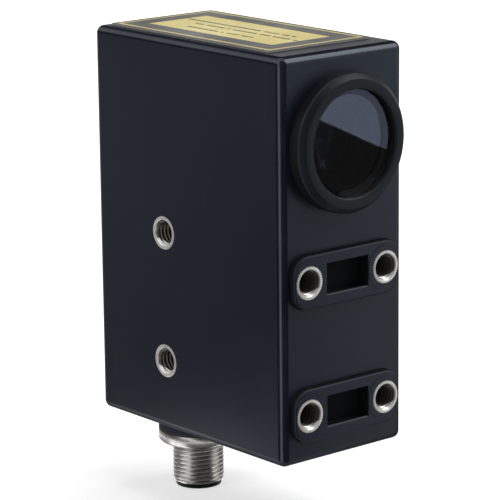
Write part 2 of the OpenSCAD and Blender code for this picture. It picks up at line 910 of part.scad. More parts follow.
module optics_block() {
    color([0.16, 0.16, 0.17])
        difference() {
            block_body();
            block_ports();
            translate([-block_half - cut, wall_y + chamber_y, lens_z - chamber_w / 2])
                cube([block_half + cut + chamber_w / 2, chamber_l, chamber_w]);
            lid_plate(0, cut);
            splitter_plate(gap);
            board_screw_holes();
            for (sx = [-1, 1], sz = [-1, 1])
                facing_rear(sx * post_offset, wall_y + block_y - cut, lens_z + sz * post_offset)
                    cylinder(r = optics_screw_r + slide_gap, h = flange_t + 2 * cut, $fn = small_fn);
        }
}

module chamber_lid() {
    color([0.18, 0.18, 0.19])
        lid_plate(gap, 0);
}

module beam_splitter() {
    color([0.70, 0.80, 0.85, 0.5])
        splitter_plate(0);
}

module condenser_lens() {
    color([0.75, 0.82, 0.90, 0.5])
        translate([0, wall_y + chamber_mid_y, port_seat_z])
            dome_lens(port_r - gap, condenser_rim, condenser_edge_t, condenser_dome);
}

module pan_screw(r, l, head_r, head_t) {
    cylinder(r = r, h = l, $fn = small_fn);
    translate([0, 0, -head_t])
        cylinder(r = head_r, h = head_t, $fn = small_fn);
}

module optics_screw(index) {
    x = post_offset * (2 * (index % 2) - 1);
    z = post_offset * (2 * floor(index / 2) - 1);
    color([0.62, 0.63, 0.65])
        facing_front(x, wall_y + block_y + flange_t, lens_z + z)
            pan_screw(optics_screw_r, optics_screw_l, optics_screw_head_r, optics_screw_head_t);
}

// Section 6: circuit boards and what they carry

module emitter_board() {
    color([0.10, 0.35, 0.18])
        difference() {
            translate([-small_board_w / 2, wall_y + chamber_mid_y - emitter_board_l / 2, emitter_board_z])
                cube([small_board_w, emitter_board_l, small_board_t]);
            for (s = [-1, 1])
                translate([s * small_screw_offset, wall_y + chamber_mid_y, emitter_board_z - cut])
                    cylinder(r = small_screw_r + slide_gap, h = small_board_t + 2 * cut, $fn = small_fn);
        }
}

module emitter_led() {
    color([0.92, 0.92, 0.85])
        translate([0, wall_y + chamber_mid_y, emitter_board_z + small_board_t + led_h / 2])
            cube([led_w, led_w, led_h], center = true);
}

module emitter_screws() {
    color([0.62, 0.63, 0.65])
        for (s = [-1, 1])
            translate([s * small_screw_offset, wall_y + chamber_mid_y, emitter_board_z])
                pan_screw(small_screw_r, small_screw_l, small_screw_head_r, small_screw_head_t);
}

module receiver_board() {
    board_low_z = main_board_top + header_h;
    color([0.10, 0.35, 0.18])
        difference() {
            translate([-small_board_w / 2, receiver_board_y, board_low_z])
                cube([small_board_w, small_board_t, lens_z + receiver_rise - board_low_z]);
            for (s = [-1, 1])
                facing_rear(s * small_screw_offset, receiver_board_y - cut, lens_z)
                    cylinder(r = small_screw_r + slide_gap, h = small_board_t + 2 * cut, $fn = small_fn);
        }
}

module photodiode() {
    color([0.15, 0.15, 0.20])
        facing_front(0, receiver_board_y, lens_z)
            cylinder(r = diode_r, h = diode_l, $fn = small_fn);
}

module receiver_screws() {
    color([0.62, 0.63, 0.65])
        for (s = [-1, 1])
            facing_front(s * small_screw_offset, receiver_board_y + small_board_t, lens_z)
                pan_screw(small_screw_r, small_screw_l, small_screw_head_r, small_screw_head_t);
}

module main_board() {
    color([0.10, 0.35, 0.18])
        translate([-board_t / 2, guide_front_y, main_board_z])
            cube([board_t, guide_rear_y - guide_front_y, main_board_top - main_board_z]);
}

module processor() {
    color([0.12, 0.12, 0.12])
        translate([board_t / 2, board_mid_y - chip_w / 2, board_mid_z - chip_w / 2])
            cube([chip_t, chip_w, chip_w]);
}

module inductor() {
    color([0.25, 0.25, 0.26])
        translate([board_t / 2, board_mid_y - coil_w / 2, board_mid_z - chip_w / 2 - 2 * coil_w])
            cube([coil_t, coil_w, coil_w]);
}

module capacitor(step) {
    color([0.70, 0.71, 0.73])
        translate([-board_t / 2, board_mid_y, board_mid_z - step * 3 * can_r])
            rotate([0, -90, 0])
                cylinder(r = can_r, h = can_l, $fn = small_fn);
}

module header_block(y, l) {
    color([0.08, 0.08, 0.09])
        translate([-header_w / 2, y - l / 2, main_board_top])
            cube([header_w, l, header_h]);
}

module emitter_header() {
    header_block(wall_y + chamber_mid_y, header_l);
}

module receiver_header() {
    header_block(receiver_board_y + small_board_t / 2, header_w);
}

// Section 7: threaded inserts

// Insert with its face at z = 0 and its tail at z = insert_l
module insert_body() {
    difference() {
        children();
        translate([0, 0, -cut])
            cylinder(r = thread_core_r, h = insert_l + 2 * cut, $fn = small_fn);
        cylinder(r1 = thread_mouth_r, r2 = thread_core_r, h = mouth_depth, $fn = small_fn);
        translate([0, 0, -cut])
            cylinder(r = thread_mouth_r, h = cut, $fn = small_fn);
    }
}

// Knurled outline: each tooth is a pair of points
module knurl_outline() {
    step = 360 / knurl_count;
    polygon([
        for (k = [0:knurl_count - 1], half = [0, 1])
            let (r = insert_r - half * knurl_depth, a = (k + half / 2) * step)
                [r * cos(a), r * sin(a)]
    ]);
}

module front_insert(index) {
    x = column_xs[index % 2];
    z = row_zs[floor(index / 2)];
    color([0.78, 0.76, 0.70])
        facing_rear(x, 0, z)
            insert_body()
                linear_extrude(insert_l)
                    knurl_outline();
}

module side_insert(index) {
    color([0.78, 0.76, 0.70])
        on_side(index < 2 ? -1 : 1, side_zs[index % 2])
            insert_body()
                cylinder(r = insert_r, h = insert_l);
}

// Section 8: connector

module connector_shell() {
    color([0.70, 0.70, 0.68])
        on_connector_axis(0)
            rotate_extrude()
                difference() {
                    polygon([
                        [0, shell_end_z],
                        [coupling_r - thread_chamfer, shell_end_z],
                        [coupling_r, shell_end_z + thread_chamfer],
                        [coupling_r, shell_flange_z - relief_l],
                        [relief_r, shell_flange_z - relief_l],
                        [relief_r, shell_flange_z],
                        [flange_r - flange_chamfer, shell_flange_z],
                        [flange_r, shell_flange_z + flange_chamfer],
                        [flange_r, seal_z],
                        [stem_r, seal_z],
                        [stem_r, stem_top_z],
                        [0, stem_top_z]
                    ]);
                    translate([0, shell_end_z - cut])
                        square([shell_bore_r, stem_top_z - shell_end_z + 2 * cut]);
                }
}

module connector_seal() {
    color([0.05, 0.05, 0.05])
        on_connector_axis(seal_z)
            ring(flange_r, stem_r + gap, ring_seal_t);
}

module connector_nut() {
    color([0.70, 0.70, 0.68])
        on_connector_axis(floor_z)
            difference() {
                rotate([0, 0, 180 / hex_corners])
                    cylinder(r = nut_af / 2 * hex_ratio, h = nut_t, $fn = hex_corners);
                translate([0, 0, -cut])
                    cylinder(r = stem_r + gap, h = nut_t + 2 * cut);
            }
}

module contact_places() {
    for (k = [0:3])
        rotate([0, 0, 90 * k])
            translate([pin_circle_r, 0, 0])
                children();
}

module contact_carrier() {
    color([0.06, 0.06, 0.07])
        on_connector_axis(0)
            difference() {
                union() {
                    translate([0, 0, carrier_end_z])
                        cylinder(r = carrier_rim_r, h = carrier_proud);
                    translate([0, 0, carrier_end_z])
                        cylinder(r = shell_bore_r - gap, h = stem_top_z - carrier_end_z);
                }
                difference() {
                    translate([0, 0, carrier_end_z - cut])
                        cylinder(r = socket_r, h = socket_depth + cut);
                    rotate([0, 0, key_angle])
                        translate([socket_r - key_h, -key_w / 2, carrier_end_z])
                            cube([2 * key_h, key_w, socket_depth]);
                }
                contact_places()
                    translate([0, 0, carrier_end_z])
                        cylinder(r = pin_r + gap, h = stem_top_z - carrier_end_z + cut, $fn = small_fn);
            }
}

module contact_pin(index) {
    low_z = carrier_end_z + pin_short;
    color([0.90, 0.75, 0.35])
        on_connector_axis(low_z)
            rotate([0, 0, 90 * index])
                translate([pin_circle_r, 0, 0]) {
                    translate([0, 0, pin_r])
                        cylinder(r = pin_r, h = main_board_z - low_z - pin_r, $fn = small_fn);
                    translate([0, 0, pin_r])
                        sphere(r = pin_r, $fn = small_fn);
                }
}

module connector_board() {
    color([0.10, 0.35, 0.18])
        on_connector_axis(stem_top_z)
            difference() {
                cylinder(r = connector_board_r, h = small_board_t);
                contact_places()
                    translate([0, 0, -cut])
                        cylinder(r = pin_r + gap, h = small_board_t + 2 * cut, $fn = small_fn);
            }
}

housing();
rear_cover();
rear_gasket();
cover_screw(0);  // cover_screw_1
cover_screw(1);  // cover_screw_2
cover_screw(2);  // cover_screw_3
cover_screw(3);  // cover_screw_4
indicator_window(-1);  // indicator_window_1
indicator_window(1);  // indicator_window_2
top_label();
label_print();
lens_hood();
lens_seal();
front_glass();
glass_seal();
lens_barrel();
objective_lens();
lens_lock_ring();
optics_block();
chamber_lid();
beam_splitter();
condenser_lens();
emitter_board();
emitter_led();
emitter_screws();
receiver_board();
photodiode();
receiver_screws();
optics_screw(0);  // optics_screw_1
optics_screw(1);  // optics_screw_2
optics_screw(2);  // optics_screw_3
optics_screw(3);  // optics_screw_4
main_board();
processor();
inductor();
capacitor(-1);  // capacitor_1
capacitor(1);  // capacitor_2
emitter_header();
receiver_header();
front_insert(0);  // front_insert_1
front_insert(1);  // front_insert_2
front_insert(2);  // front_insert_3
front_insert(3);  // front_insert_4
side_insert(0);  // side_insert_1
side_insert(1);  // side_insert_2
side_insert(2);  // side_insert_3
side_insert(3);  // side_insert_4
connector_shell();
connector_seal();
connector_nut();
contact_carrier();
contact_pin(0);  // contact_pin_1
contact_pin(1);  // contact_pin_2
contact_pin(2);  // contact_pin_3
contact_pin(3);  // contact_pin_4
connector_board();
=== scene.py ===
import json
import math
import random

import bmesh
import bpy
from mathutils import Matrix, Vector


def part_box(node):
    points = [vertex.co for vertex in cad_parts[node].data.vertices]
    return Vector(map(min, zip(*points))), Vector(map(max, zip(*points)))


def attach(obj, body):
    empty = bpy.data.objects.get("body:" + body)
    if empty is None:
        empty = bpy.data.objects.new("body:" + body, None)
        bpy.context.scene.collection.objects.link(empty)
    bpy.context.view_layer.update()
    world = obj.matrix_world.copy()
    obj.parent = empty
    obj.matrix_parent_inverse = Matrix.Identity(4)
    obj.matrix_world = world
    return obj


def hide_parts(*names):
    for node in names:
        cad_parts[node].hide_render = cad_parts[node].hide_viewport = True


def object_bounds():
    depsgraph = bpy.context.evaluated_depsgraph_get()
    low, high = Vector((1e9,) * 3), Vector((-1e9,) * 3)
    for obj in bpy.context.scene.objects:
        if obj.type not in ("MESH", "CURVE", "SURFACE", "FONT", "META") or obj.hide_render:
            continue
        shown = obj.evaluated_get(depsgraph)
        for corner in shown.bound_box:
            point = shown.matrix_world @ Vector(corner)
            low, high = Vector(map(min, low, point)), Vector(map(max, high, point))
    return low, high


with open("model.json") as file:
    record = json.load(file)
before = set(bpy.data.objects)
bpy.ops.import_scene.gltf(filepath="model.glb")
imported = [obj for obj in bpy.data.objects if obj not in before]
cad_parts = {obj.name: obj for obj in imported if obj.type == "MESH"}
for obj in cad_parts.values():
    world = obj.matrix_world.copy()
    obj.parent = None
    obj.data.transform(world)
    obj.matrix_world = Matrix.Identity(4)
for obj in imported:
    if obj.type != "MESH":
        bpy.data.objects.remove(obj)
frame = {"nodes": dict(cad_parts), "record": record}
cad_low, cad_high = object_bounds()

MM = 0.001
BODY = "root"
NODES = frame["nodes"]
RECORD = frame["record"]

# The photograph's frame and where its camera stands
PHOTO_SIZE = 500
SENSOR_WIDTH = 36.0
FOCAL_PIXELS = 2716.8
AIM_PIXEL = (269.29, 259.58)
AIM_POINT = Vector((0.0, 26.65, 13.75)) * MM
CAMERA_DISTANCE = 614.91 * MM
CAMERA_YAW = math.radians(40.367)
CAMERA_PITCH = math.radians(13.575)
CAMERA_ROLL = math.radians(-0.515)

# Places in the part's frame, in millimetres
CONNECTOR_AXIS = (0.0, 53.35)
PAD_ROWS = (-15.0, 15.0)
PAD_HALF = (15.4, 6.0)
PAD_CORNER_R = 4.0
PAD_FACE = 0.15
WINDOW_HALF = (6.15, 3.65)
WINDOW_LIP = 0.3
WALL_FACE = 1.65
WALL_BOTTOM = -26.25
EDGE_RADIUS = 1.8
GLASS_MASK_R = 10.5

# The box of the housing's walls, without its pads and its neck
housing_low, housing_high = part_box("housing")
WALLS_LOW = Vector((housing_low.x, WALL_FACE * MM, WALL_BOTTOM * MM))
WALLS_HIGH = housing_high

# Places of the housing with painted shade (windows, pad feet) or a dull finish (pad edges, bottom edge), in
# millimetres from the front or from the pads' outline
WINDOW_DEPTHS = (0.6, 3.8)
WINDOW_MARGIN = 0.05
PAD_RIM = (-0.45, 0.25)
PAD_EDGE_DEPTHS = (0.1, 0.65)
PAD_FOOT_DEPTHS = (0.55, 1.75)
BOTTOM_EDGE = (1.0, 1.9)
SHARP_STEP = 0.02
SOFT_STEP = 0.05

# Rows of bars on the label: place across it, start and end
LABEL_ROWS = ((2.6, 20.0, 57.0), (-0.6, 16.0, 51.0), (-4.8, 26.0, 48.0))
BAR_WIDTH = 0.84
BAR_THICKNESS = 0.03
BAR_LENGTHS = (0.5, 1.7)
BAR_GAPS = (0.35, 0.35, 0.45, 1.3)

# Threads, in millimetres
INSERT_PITCH = 1.0
INSERT_CORE_R = 2.5
INSERT_MAJOR_R = 3.0
INSERT_MOUTH_R = 3.05
KNURL_COUNT = 40
KNURL_DEPTH = 0.25
COUPLING_PITCH = 1.0
COUPLING_DEPTH = 0.6
THREAD_ROOT = 0.12
THREAD_FLANK = 0.70

# Vertices round a turned piece, and how far in the middle of a rounded edge lies as a share of that edge
ROUND_COUNT = 128
ROUND_SHARE = 0.3


# Node trees

class Nodes:
    """A node tree under construction, with short calls for the nodes that it uses."""

    def __init__(self, tree, output):
        self.tree = tree
        self.tree.nodes.clear()
        self.output = self.add(output)

    def add(self, kind, **values):
        node = self.tree.nodes.new(kind)
        for key, value in values.items():
            setattr(node, key, value)
        return node

    def link(self, source, target):
        self.tree.links.new(source, target)

    def feed(self, socket, value):
        if isinstance(value, bpy.types.NodeSocket):
            self.link(value, socket)
        else:
            socket.default_value = value

    def between(self, value, low, high, to_low, to_high):
        node = self.add("ShaderNodeMapRange")
        self.feed(node.inputs["Value"], value)
        node.inputs["From Min"].default_value = low
        node.inputs["From Max"].default_value = high
        node.inputs["To Min"].default_value = to_low
        node.inputs["To Max"].default_value = to_high
        return node.outputs["Result"]

    def math(self, operation, a, b=0.0):
        node = self.add("ShaderNodeMath", operation=operation)
        self.feed(node.inputs[0], a)
        self.feed(node.inputs[1], b)
        return node.outputs["Value"]

    def blend(self, factor, a, b):
        node = self.add("ShaderNodeMix", data_type="RGBA")
        self.feed(node.inputs["Factor"], factor)
        self.feed(node.inputs["A"], a)
        self.feed(node.inputs["B"], b)
        return node.outputs["Result"]

    def seen(self):
        """1 for what is seen directly, in a reflection or through glass, 0 for diffuse light."""
        path = self.add("ShaderNodeLightPath")
        mirrored = self.math("MAXIMUM", path.outputs["Is Camera Ray"], path.outputs["Is Glossy Ray"])
        return self.math("MAXIMUM", mirrored, path.outputs["Is Transmission Ray"])


class Shade(Nodes):
    """A material under construction, whose patterns lie in the object's own coordinates."""

    def __init__(self, name):
        self.material = bpy.data.materials.new(name)
        self.material.use_nodes = True
        super().__init__(self.material.node_tree, "ShaderNodeOutputMaterial")
        self.place = self.add("ShaderNodeTexCoord").outputs["Object"]

    def noise(self, scale, detail=2.0, roughness=0.5, vector=None):
        node = self.add("ShaderNodeTexNoise")
        self.link(vector or self.place, node.inputs["Vector"])
        node.inputs["Scale"].default_value = scale
        node.inputs["Detail"].default_value = detail
        node.inputs["Roughness"].default_value = roughness
        return node.outputs["Fac"]

    def vary(self, noise, low, high):
        """A value from low to high that follows a noise."""
        return self.between(noise, 0.3, 0.7, low, high)

    def cells(self, scale):
        node = self.add("ShaderNodeTexVoronoi")
        self.link(self.place, node.inputs["Vector"])
        node.inputs["Scale"].default_value = scale
        return node.outputs["Distance"]

    def parts(self):
        """The x, y and z of a point on the surface."""
        node = self.add("ShaderNodeSeparateXYZ")
        self.link(self.place, node.inputs["Vector"])
        return node.outputs

    def turned(self, axis, centre=(0.0, 0.0)):
        """Distance from an axis and place along it, which gives rings like those of a lathe."""
        x, y, z = self.parts()
        across = [(x, y, z)[k] for k in range(3) if k != axis]
        legs = [self.math("SUBTRACT", leg, at) for leg, at in zip(across, centre)]
        squares = [self.math("MULTIPLY", leg, leg) for leg in legs]
        reach = self.math("SQRT", self.math("ADD", *squares))
        node = self.add("ShaderNodeCombineXYZ")
        self.link(reach, node.inputs["X"])
        self.link((x, y, z)[axis], node.inputs["Y"])
        return node.outputs["Vector"]

    def near_edges(self, low, high, reach):
        """1 along the middle of a box's rounded edges, falling to 0 on its faces."""
        depths = []
        for axis, leg in enumerate(self.parts()):
            half = (high[axis] - low[axis]) / 2
            offset = self.math("ABSOLUTE", self.math("SUBTRACT", leg, (high[axis] + low[axis]) / 2))
            depths.append(self.between(offset, half - reach, half, 0.0, 1.0))
        pairs = [self.math("MULTIPLY", depths[k], depths[(k + 1) % 3]) for k in range(3)]
        most = self.math("MAXIMUM", self.math("MAXIMUM", pairs[0], pairs[1]), pairs[2])
        return self.math("MULTIPLY", most, 2.0)

    def inside(self, value, low, high, soft):
        """1 where a length lies between two limits in millimetres, with a soft step at each."""
        return self.math(
            "MULTIPLY",
            self.between(value, (low - soft) * MM, (low + soft) * MM, 0.0, 1.0),
            self.between(value, (high - soft) * MM, (high + soft) * MM, 1.0, 0.0))

    def from_outline(self, x, z, half, corner):
        """Distance from the outline of a rounded rectangle, less than 0 inside it."""
        legs = []
        for leg, reach in zip((x, z), half):
            out = self.math("SUBTRACT", self.math("ABSOLUTE", leg), (reach - corner) * MM)
            legs.append(self.math("MAXIMUM", out, 0.0))
        squares = [self.math("MULTIPLY", leg, leg) for leg in legs]
        return self.math("SUBTRACT", self.math("SQRT", self.math("ADD", *squares)), corner * MM)

    def stretched(self, factors):
        node = self.add("ShaderNodeMapping")
        self.link(self.place, node.inputs["Vector"])
        node.inputs["Scale"].default_value = factors
        return node.outputs["Vector"]

    def bump(self, height, strength, distance, normal=None):
        node = self.add("ShaderNodeBump")
        self.link(height, node.inputs["Height"])
        node.inputs["Strength"].default_value = strength
        node.inputs["Distance"].default_value = distance
        if normal is not None:
            self.link(normal, node.inputs["Normal"])
        return node.outputs["Normal"]

    def principled(self, **inputs):
        node = self.add("ShaderNodeBsdfPrincipled")
        for key, value in inputs.items():
            self.feed(node.inputs[key.replace("_", " ")], value)
        self.link(node.outputs["BSDF"], self.output.inputs["Surface"])
        return self.material


def rgba(r, g, b):
    return (r, g, b, 1.0)


# Materials

# Tones and finish that several mouldings share, the darker tone first
HOUSING_TONES = ((0.0034, 0.0040, 0.0100), (0.0046, 0.0054, 0.0134))
BLACK_TONES = ((0.004, 0.004, 0.004), (0.007, 0.007, 0.007))
HOUSING_ROUGHNESS = 0.38
HOUSING_GLOSS = 0.55
MOULD_GRAIN = 0.35
PLASTIC_INDEX = 1.5
GLASS_INDEX = 1.5
LENS_INDEX = 1.6

# Rubbed places are paler, and the windows and pad feet are a neutral dark grey of painted shade
# Along the housing's edges the paler colour is wear and also a painted highlight
RUB_AND_SHEEN_COLOUR = (0.026, 0.029, 0.034)
PAINTED_SHADE_COLOUR = (0.0070, 0.0080, 0.0085)

# A threaded bore, in millimetres: painted shade from its mouth inwards, except on its lower wall, which
# painted light keeps brighter as if a lamp above reached it
BORE_MOUTH = (-0.02, 0.30)
BORE_LOWER_WALL = (-2.9, -1.4)
BORE_LIT_DEPTH = 1.9
BORE_SHADE = 0.94
BORE_SHADE_COLOUR = (0.050, 0.042, 0.030)

# How much smoother the rounded edges are than the grained faces
EDGE_POLISH = 0.16

# The moulded skin reflects a little blue
SKIN_TINT = (0.76, 0.90, 1.0)


def plastic_finish(s, base, roughness, gloss, grain, wear_and_sheen=None, painted_recess_shade=None, dull=None):
    """Moulded plastic: fine grain, faint rubbed marks and, where given, polished edges paler with wear and
    a painted highlight, and matt places of painted shade.
    """
    fine = s.noise(2600, detail=3, roughness=0.6)
    cloud = s.noise(60, detail=5, roughness=0.55)
    rubs = s.noise(420, detail=4, vector=s.stretched((1.0, 1.0, 0.06)))
    rub_and_sheen = s.math("MULTIPLY", s.between(rubs, 0.60, 0.78, 0.0, 1.0), 0.16)
    # Along the edges the paler colour is wear and also a painted highlight
    if wear_and_sheen is not None:
        patches = s.between(s.noise(150, detail=4), 0.38, 0.66, 0.25, 1.0)
        rub_and_sheen = s.math("ADD", rub_and_sheen, s.math("MULTIPLY", wear_and_sheen, s.math("MULTIPLY", patches, 0.30)))
    colour = s.blend(rub_and_sheen, base, rgba(*RUB_AND_SHEEN_COLOUR))
    rough = s.vary(cloud, roughness - 0.03, roughness + 0.04)
    rough = s.math("SUBTRACT", rough, s.math("MULTIPLY", rub_and_sheen, 0.20))
    if wear_and_sheen is not None:
        rough = s.math("SUBTRACT", rough, s.between(wear_and_sheen, 0.0, 0.35, 0.0, EDGE_POLISH))
    if dull is not None:
        rough = s.math("MAXIMUM", rough, s.math("MULTIPLY", dull, 0.80))
    tint = rgba(*SKIN_TINT)
    # Painted shade: the given places get a rough finish whose reflection is tinted almost to black
    if painted_recess_shade is not None:
        rough = s.math("MAXIMUM", rough, s.math("MULTIPLY", painted_recess_shade, 0.90))
        tint = s.blend(painted_recess_shade, tint, rgba(0.02, 0.02, 0.02))
    normal = s.bump(fine, grain, 0.02 * MM)
    normal = s.bump(cloud, 0.10, 0.08 * MM, normal)
    return s.principled(
        Base_Color=colour, Roughness=rough, Normal=normal,
        Specular_IOR_Level=gloss, IOR=PLASTIC_INDEX, Specular_Tint=tint)


def plastic_tone(s, dark, light):
    """Slow changes of tone over a moulded surface."""
    return s.blend(s.between(s.noise(18, detail=4), 0.35, 0.65, 0.0, 1.0), rgba(*dark), rgba(*light))


def moulded_plastic(name, tones, roughness, gloss):
    """A plain moulding of one colour."""
    s = Shade(name)
    return plastic_finish(s, plastic_tone(s, *tones), roughness, gloss, MOULD_GRAIN)


def painted_window_shade(s):
    """1 on the walls inside the windows of the pads, where shade is painted."""
    x, y, z = s.parts()
    half_x, half_z = [half + WINDOW_MARGIN for half in WINDOW_HALF]
    rows = [s.inside(z, row - half_z, row + half_z, SHARP_STEP) for row in PAD_ROWS]
    opening = s.math("MULTIPLY", s.inside(x, -half_x, half_x, SHARP_STEP), s.math("MAXIMUM", *rows))
    return s.math("MULTIPLY", s.inside(y, *WINDOW_DEPTHS, SOFT_STEP), opening)


def pad_rims(s):
    """1 along the outlines of the pads."""
    x, y, z = s.parts()
    rims = []
    for row in PAD_ROWS:
        away = s.from_outline(x, s.math("SUBTRACT", z, row * MM), PAD_HALF, PAD_CORNER_R)
        rims.append(s.inside(away, *PAD_RIM, SOFT_STEP))
    return s.math("MAXIMUM", *rims)


def housing_plastic(name):
    """Blue-black moulded plastic: edges with wear and a painted highlight, painted shade in the windows and
    on the pad feet, dull pad rims and bottom edge.
    """
    s = Shade(name)
    base = plastic_tone(s, *HOUSING_TONES)
    x, y, z = s.parts()
    rims = pad_rims(s)
    # Painted shade: the pads' feet and the window walls take a neutral dark grey without reflection
    painted_foot_shade = s.math("MULTIPLY", rims, s.inside(y, *PAD_FOOT_DEPTHS, SOFT_STEP))
    edge = s.math("MULTIPLY", rims, s.inside(y, *PAD_EDGE_DEPTHS, SOFT_STEP))
    painted_recess_shade = s.math("MAXIMUM", painted_window_shade(s), painted_foot_shade)
    base = s.blend(painted_recess_shade, base, rgba(*PAINTED_SHADE_COLOUR))
    # The rounded edges: wear with a painted highlight in their colour, and a smoother polish
    wear_and_sheen = s.near_edges(WALLS_LOW, WALLS_HIGH, EDGE_RADIUS * MM)
    low, high = [WALLS_LOW.z + rise * MM for rise in BOTTOM_EDGE]
    bottom = s.between(z, low, high, 1.0, 0.0)
    dull = s.math("MAXIMUM", bottom, s.math("MULTIPLY", edge, 0.70))
    return plastic_finish(s, base, HOUSING_ROUGHNESS, HOUSING_GLOSS, 0.30, wear_and_sheen, painted_recess_shade, dull)


def hood_plastic(name):
    """Black plastic with the fine rings of a turned mould."""
    s = Shade(name)
    tone = plastic_tone(s, (0.0034, 0.0040, 0.0048), (0.0050, 0.0058, 0.0066))
    rings = s.noise(1500, detail=3, vector=s.turned(2))
    fine = s.noise(2400, detail=3, roughness=0.6)
    cloud = s.noise(90, detail=4)
    rough = s.vary(cloud, 0.40, 0.47)
    normal = s.bump(rings, 0.10, 0.02 * MM)
    normal = s.bump(fine, 0.30, 0.02 * MM, normal)
    return s.principled(
        Base_Color=tone, Roughness=rough, Normal=normal,
        Specular_IOR_Level=0.35, IOR=PLASTIC_INDEX, Specular_Tint=rgba(*SKIN_TINT))


def rubber(name):
    """Black rubber with a matt grain."""
    s = Shade(name)
    fine = s.noise(1800, detail=4)
    tone = s.blend(s.noise(90, detail=3), rgba(0.008, 0.008, 0.008), rgba(0.02, 0.02, 0.02))
    rough = s.vary(s.noise(300), 0.55, 0.75)
    return s.principled(
        Base_Color=tone, Roughness=rough, Normal=s.bump(fine, 0.5, 0.04 * MM), Specular_IOR_Level=0.35)


def turned_metal(name, dark, light, roughness, axis=2, centre=(0.0, 0.0), bore=False, metal=1.0):
    """Plated metal from the lathe: fine rings, stains, pits and, where asked, painted shade in the bore
    with painted light on its lower wall.
    """
    s = Shade(name)
    rings = s.noise(3800, detail=3, vector=s.turned(axis, [v * MM for v in centre]))
    stain = s.noise(520, detail=5, roughness=0.6)
    pits = s.between(s.cells(1400), 0.0, 0.12, 1.0, 0.0)
    base = s.blend(s.between(stain, 0.35, 0.7, 0.0, 1.0), rgba(*light), rgba(*dark))
    base = s.blend(s.math("MULTIPLY", pits, 0.35), base, rgba(*[c * 0.4 for c in dark]))
    if bore:
        # Painted shade darkens the bore from its mouth inwards, and painted light holds it back on the
        # lower wall
        places = s.parts()
        start, end = [v * MM for v in BORE_LOWER_WALL]
        painted_wall_light = s.between(places[1], start, end, BORE_LIT_DEPTH * MM, 0.0)
        start, end = [v * MM for v in BORE_MOUTH]
        painted_bore_shade = s.between(s.math("SUBTRACT", places[axis], painted_wall_light), start, end, 0.0, BORE_SHADE)
        base = s.blend(painted_bore_shade, base, rgba(*BORE_SHADE_COLOUR))
    rough = s.vary(rings, roughness - 0.05, roughness + 0.08)
    rough = s.math("ADD", rough, s.math("MULTIPLY", pits, 0.10))
    normal = s.bump(rings, 0.16, 0.01 * MM)
    normal = s.bump(stain, 0.08, 0.02 * MM, normal)
    return s.principled(Base_Color=base, Roughness=rough, Normal=normal, Metallic=metal)


def window_glass(name, depth):
    """Polished glass, dark at its back, with a little dust and soft wipe marks."""
    s = Shade(name)
    dust = s.between(s.cells(900), 0.0, 0.045, 1.0, 0.0)
    smear = s.noise(140, detail=4)
    rough = s.math("ADD", s.between(smear, 0.45, 0.8, 0.0, 0.02), s.math("MULTIPLY", dust, 0.06))
    back = s.between(s.parts()[2], 0.4 * depth, 0.6 * depth, 0.0, 1.0)
    colour = s.blend(back, rgba(0.97, 0.98, 1.0), rgba(0.070, 0.085, 0.110))
    return s.principled(Base_Color=colour, Roughness=rough, IOR=GLASS_INDEX, Transmission_Weight=1.0)


def lens_glass(name):
    """Coated glass of the inner lenses."""
    s = Shade(name)
    smear = s.noise(140, detail=4)
    rough = s.between(smear, 0.45, 0.8, 0.0, 0.02)
    colour = s.blend(smear, rgba(0.80, 0.84, 0.90), rgba(0.72, 0.76, 0.82))
    return s.principled(
        Base_Color=colour, Roughness=rough, IOR=LENS_INDEX, Transmission_Weight=1.0,
        Specular_Tint=rgba(0.62, 0.70, 0.92))


def print_mask(name):
    """Black print on the back of the glass, which hides the seal."""
    s = Shade(name)
    fine = s.noise(1800, detail=3)
    tone = s.blend(fine, rgba(0.0035, 0.0035, 0.0038), rgba(0.0060, 0.0060, 0.0065))
    rough = s.vary(fine, 0.65, 0.80)
    return s.principled(Base_Color=tone, Roughness=rough, Specular_IOR_Level=0.0, IOR=PLASTIC_INDEX)


def foil_base(s, dark, light):
    """Printed foil: a fine screen over soft rubbed patches."""
    patch = s.noise(70, detail=5, roughness=0.6)
    base = s.blend(s.between(patch, 0.35, 0.7, 0.0, 1.0), rgba(*light), rgba(*dark))
    screen = s.between(s.cells(2600), 0.0, 0.6, 0.0, 0.10)
    return s.blend(screen, base, rgba(*[c * 0.7 for c in dark])), patch


def gold_foil(name):
    """Gold label foil. Its cut edges show the pale carrier."""
    s = Shade(name)
    base, patch = foil_base(s, (0.69, 0.585, 0.22), (0.85, 0.735, 0.30))
    facing = s.add("ShaderNodeSeparateXYZ")
    s.link(s.add("ShaderNodeNewGeometry").outputs["Normal"], facing.inputs["Vector"])
    printed = s.between(facing.outputs["Z"], 0.6, 0.9, 0.0, 1.0)
    base = s.blend(printed, rgba(0.260, 0.245, 0.220), base)
    rough = s.vary(patch, 0.34, 0.46)
    peel = s.noise(900, detail=2)
    metal = s.math("MULTIPLY", printed, 0.20)
    return s.principled(
        Base_Color=base, Roughness=rough, Metallic=metal, Normal=s.bump(peel, 0.10, 0.03 * MM))


def label_print(name):
    """Dark printing ink with a low gloss."""
    s = Shade(name)
    base, patch = foil_base(s, (0.010, 0.010, 0.008), (0.018, 0.018, 0.014))
    rough = s.vary(patch, 0.26, 0.36)
    return s.principled(
        Base_Color=base, Roughness=rough, Normal=s.bump(s.noise(900, detail=2), 0.10, 0.03 * MM))


def board_laminate(name):
    """Green board with the weave of its glass cloth."""
    s = Shade(name)
    weave = s.noise(1500, detail=2)
    tone = s.blend(s.noise(200, detail=3), rgba(0.01, 0.08, 0.03), rgba(0.02, 0.14, 0.05))
    return s.principled(
        Base_Color=tone, Roughness=s.vary(weave, 0.25, 0.4), Normal=s.bump(weave, 0.2, 0.02 * MM))


def lamp_window(name):
    """Milky plastic of the indicator windows."""
    s = Shade(name)
    haze = s.noise(400, detail=3)
    tone = s.blend(haze, rgba(0.30, 0.34, 0.24), rgba(0.42, 0.46, 0.34))
    return s.principled(
        Base_Color=tone, Roughness=s.vary(haze, 0.12, 0.22), Subsurface_Weight=0.3, Coat_Weight=0.3)


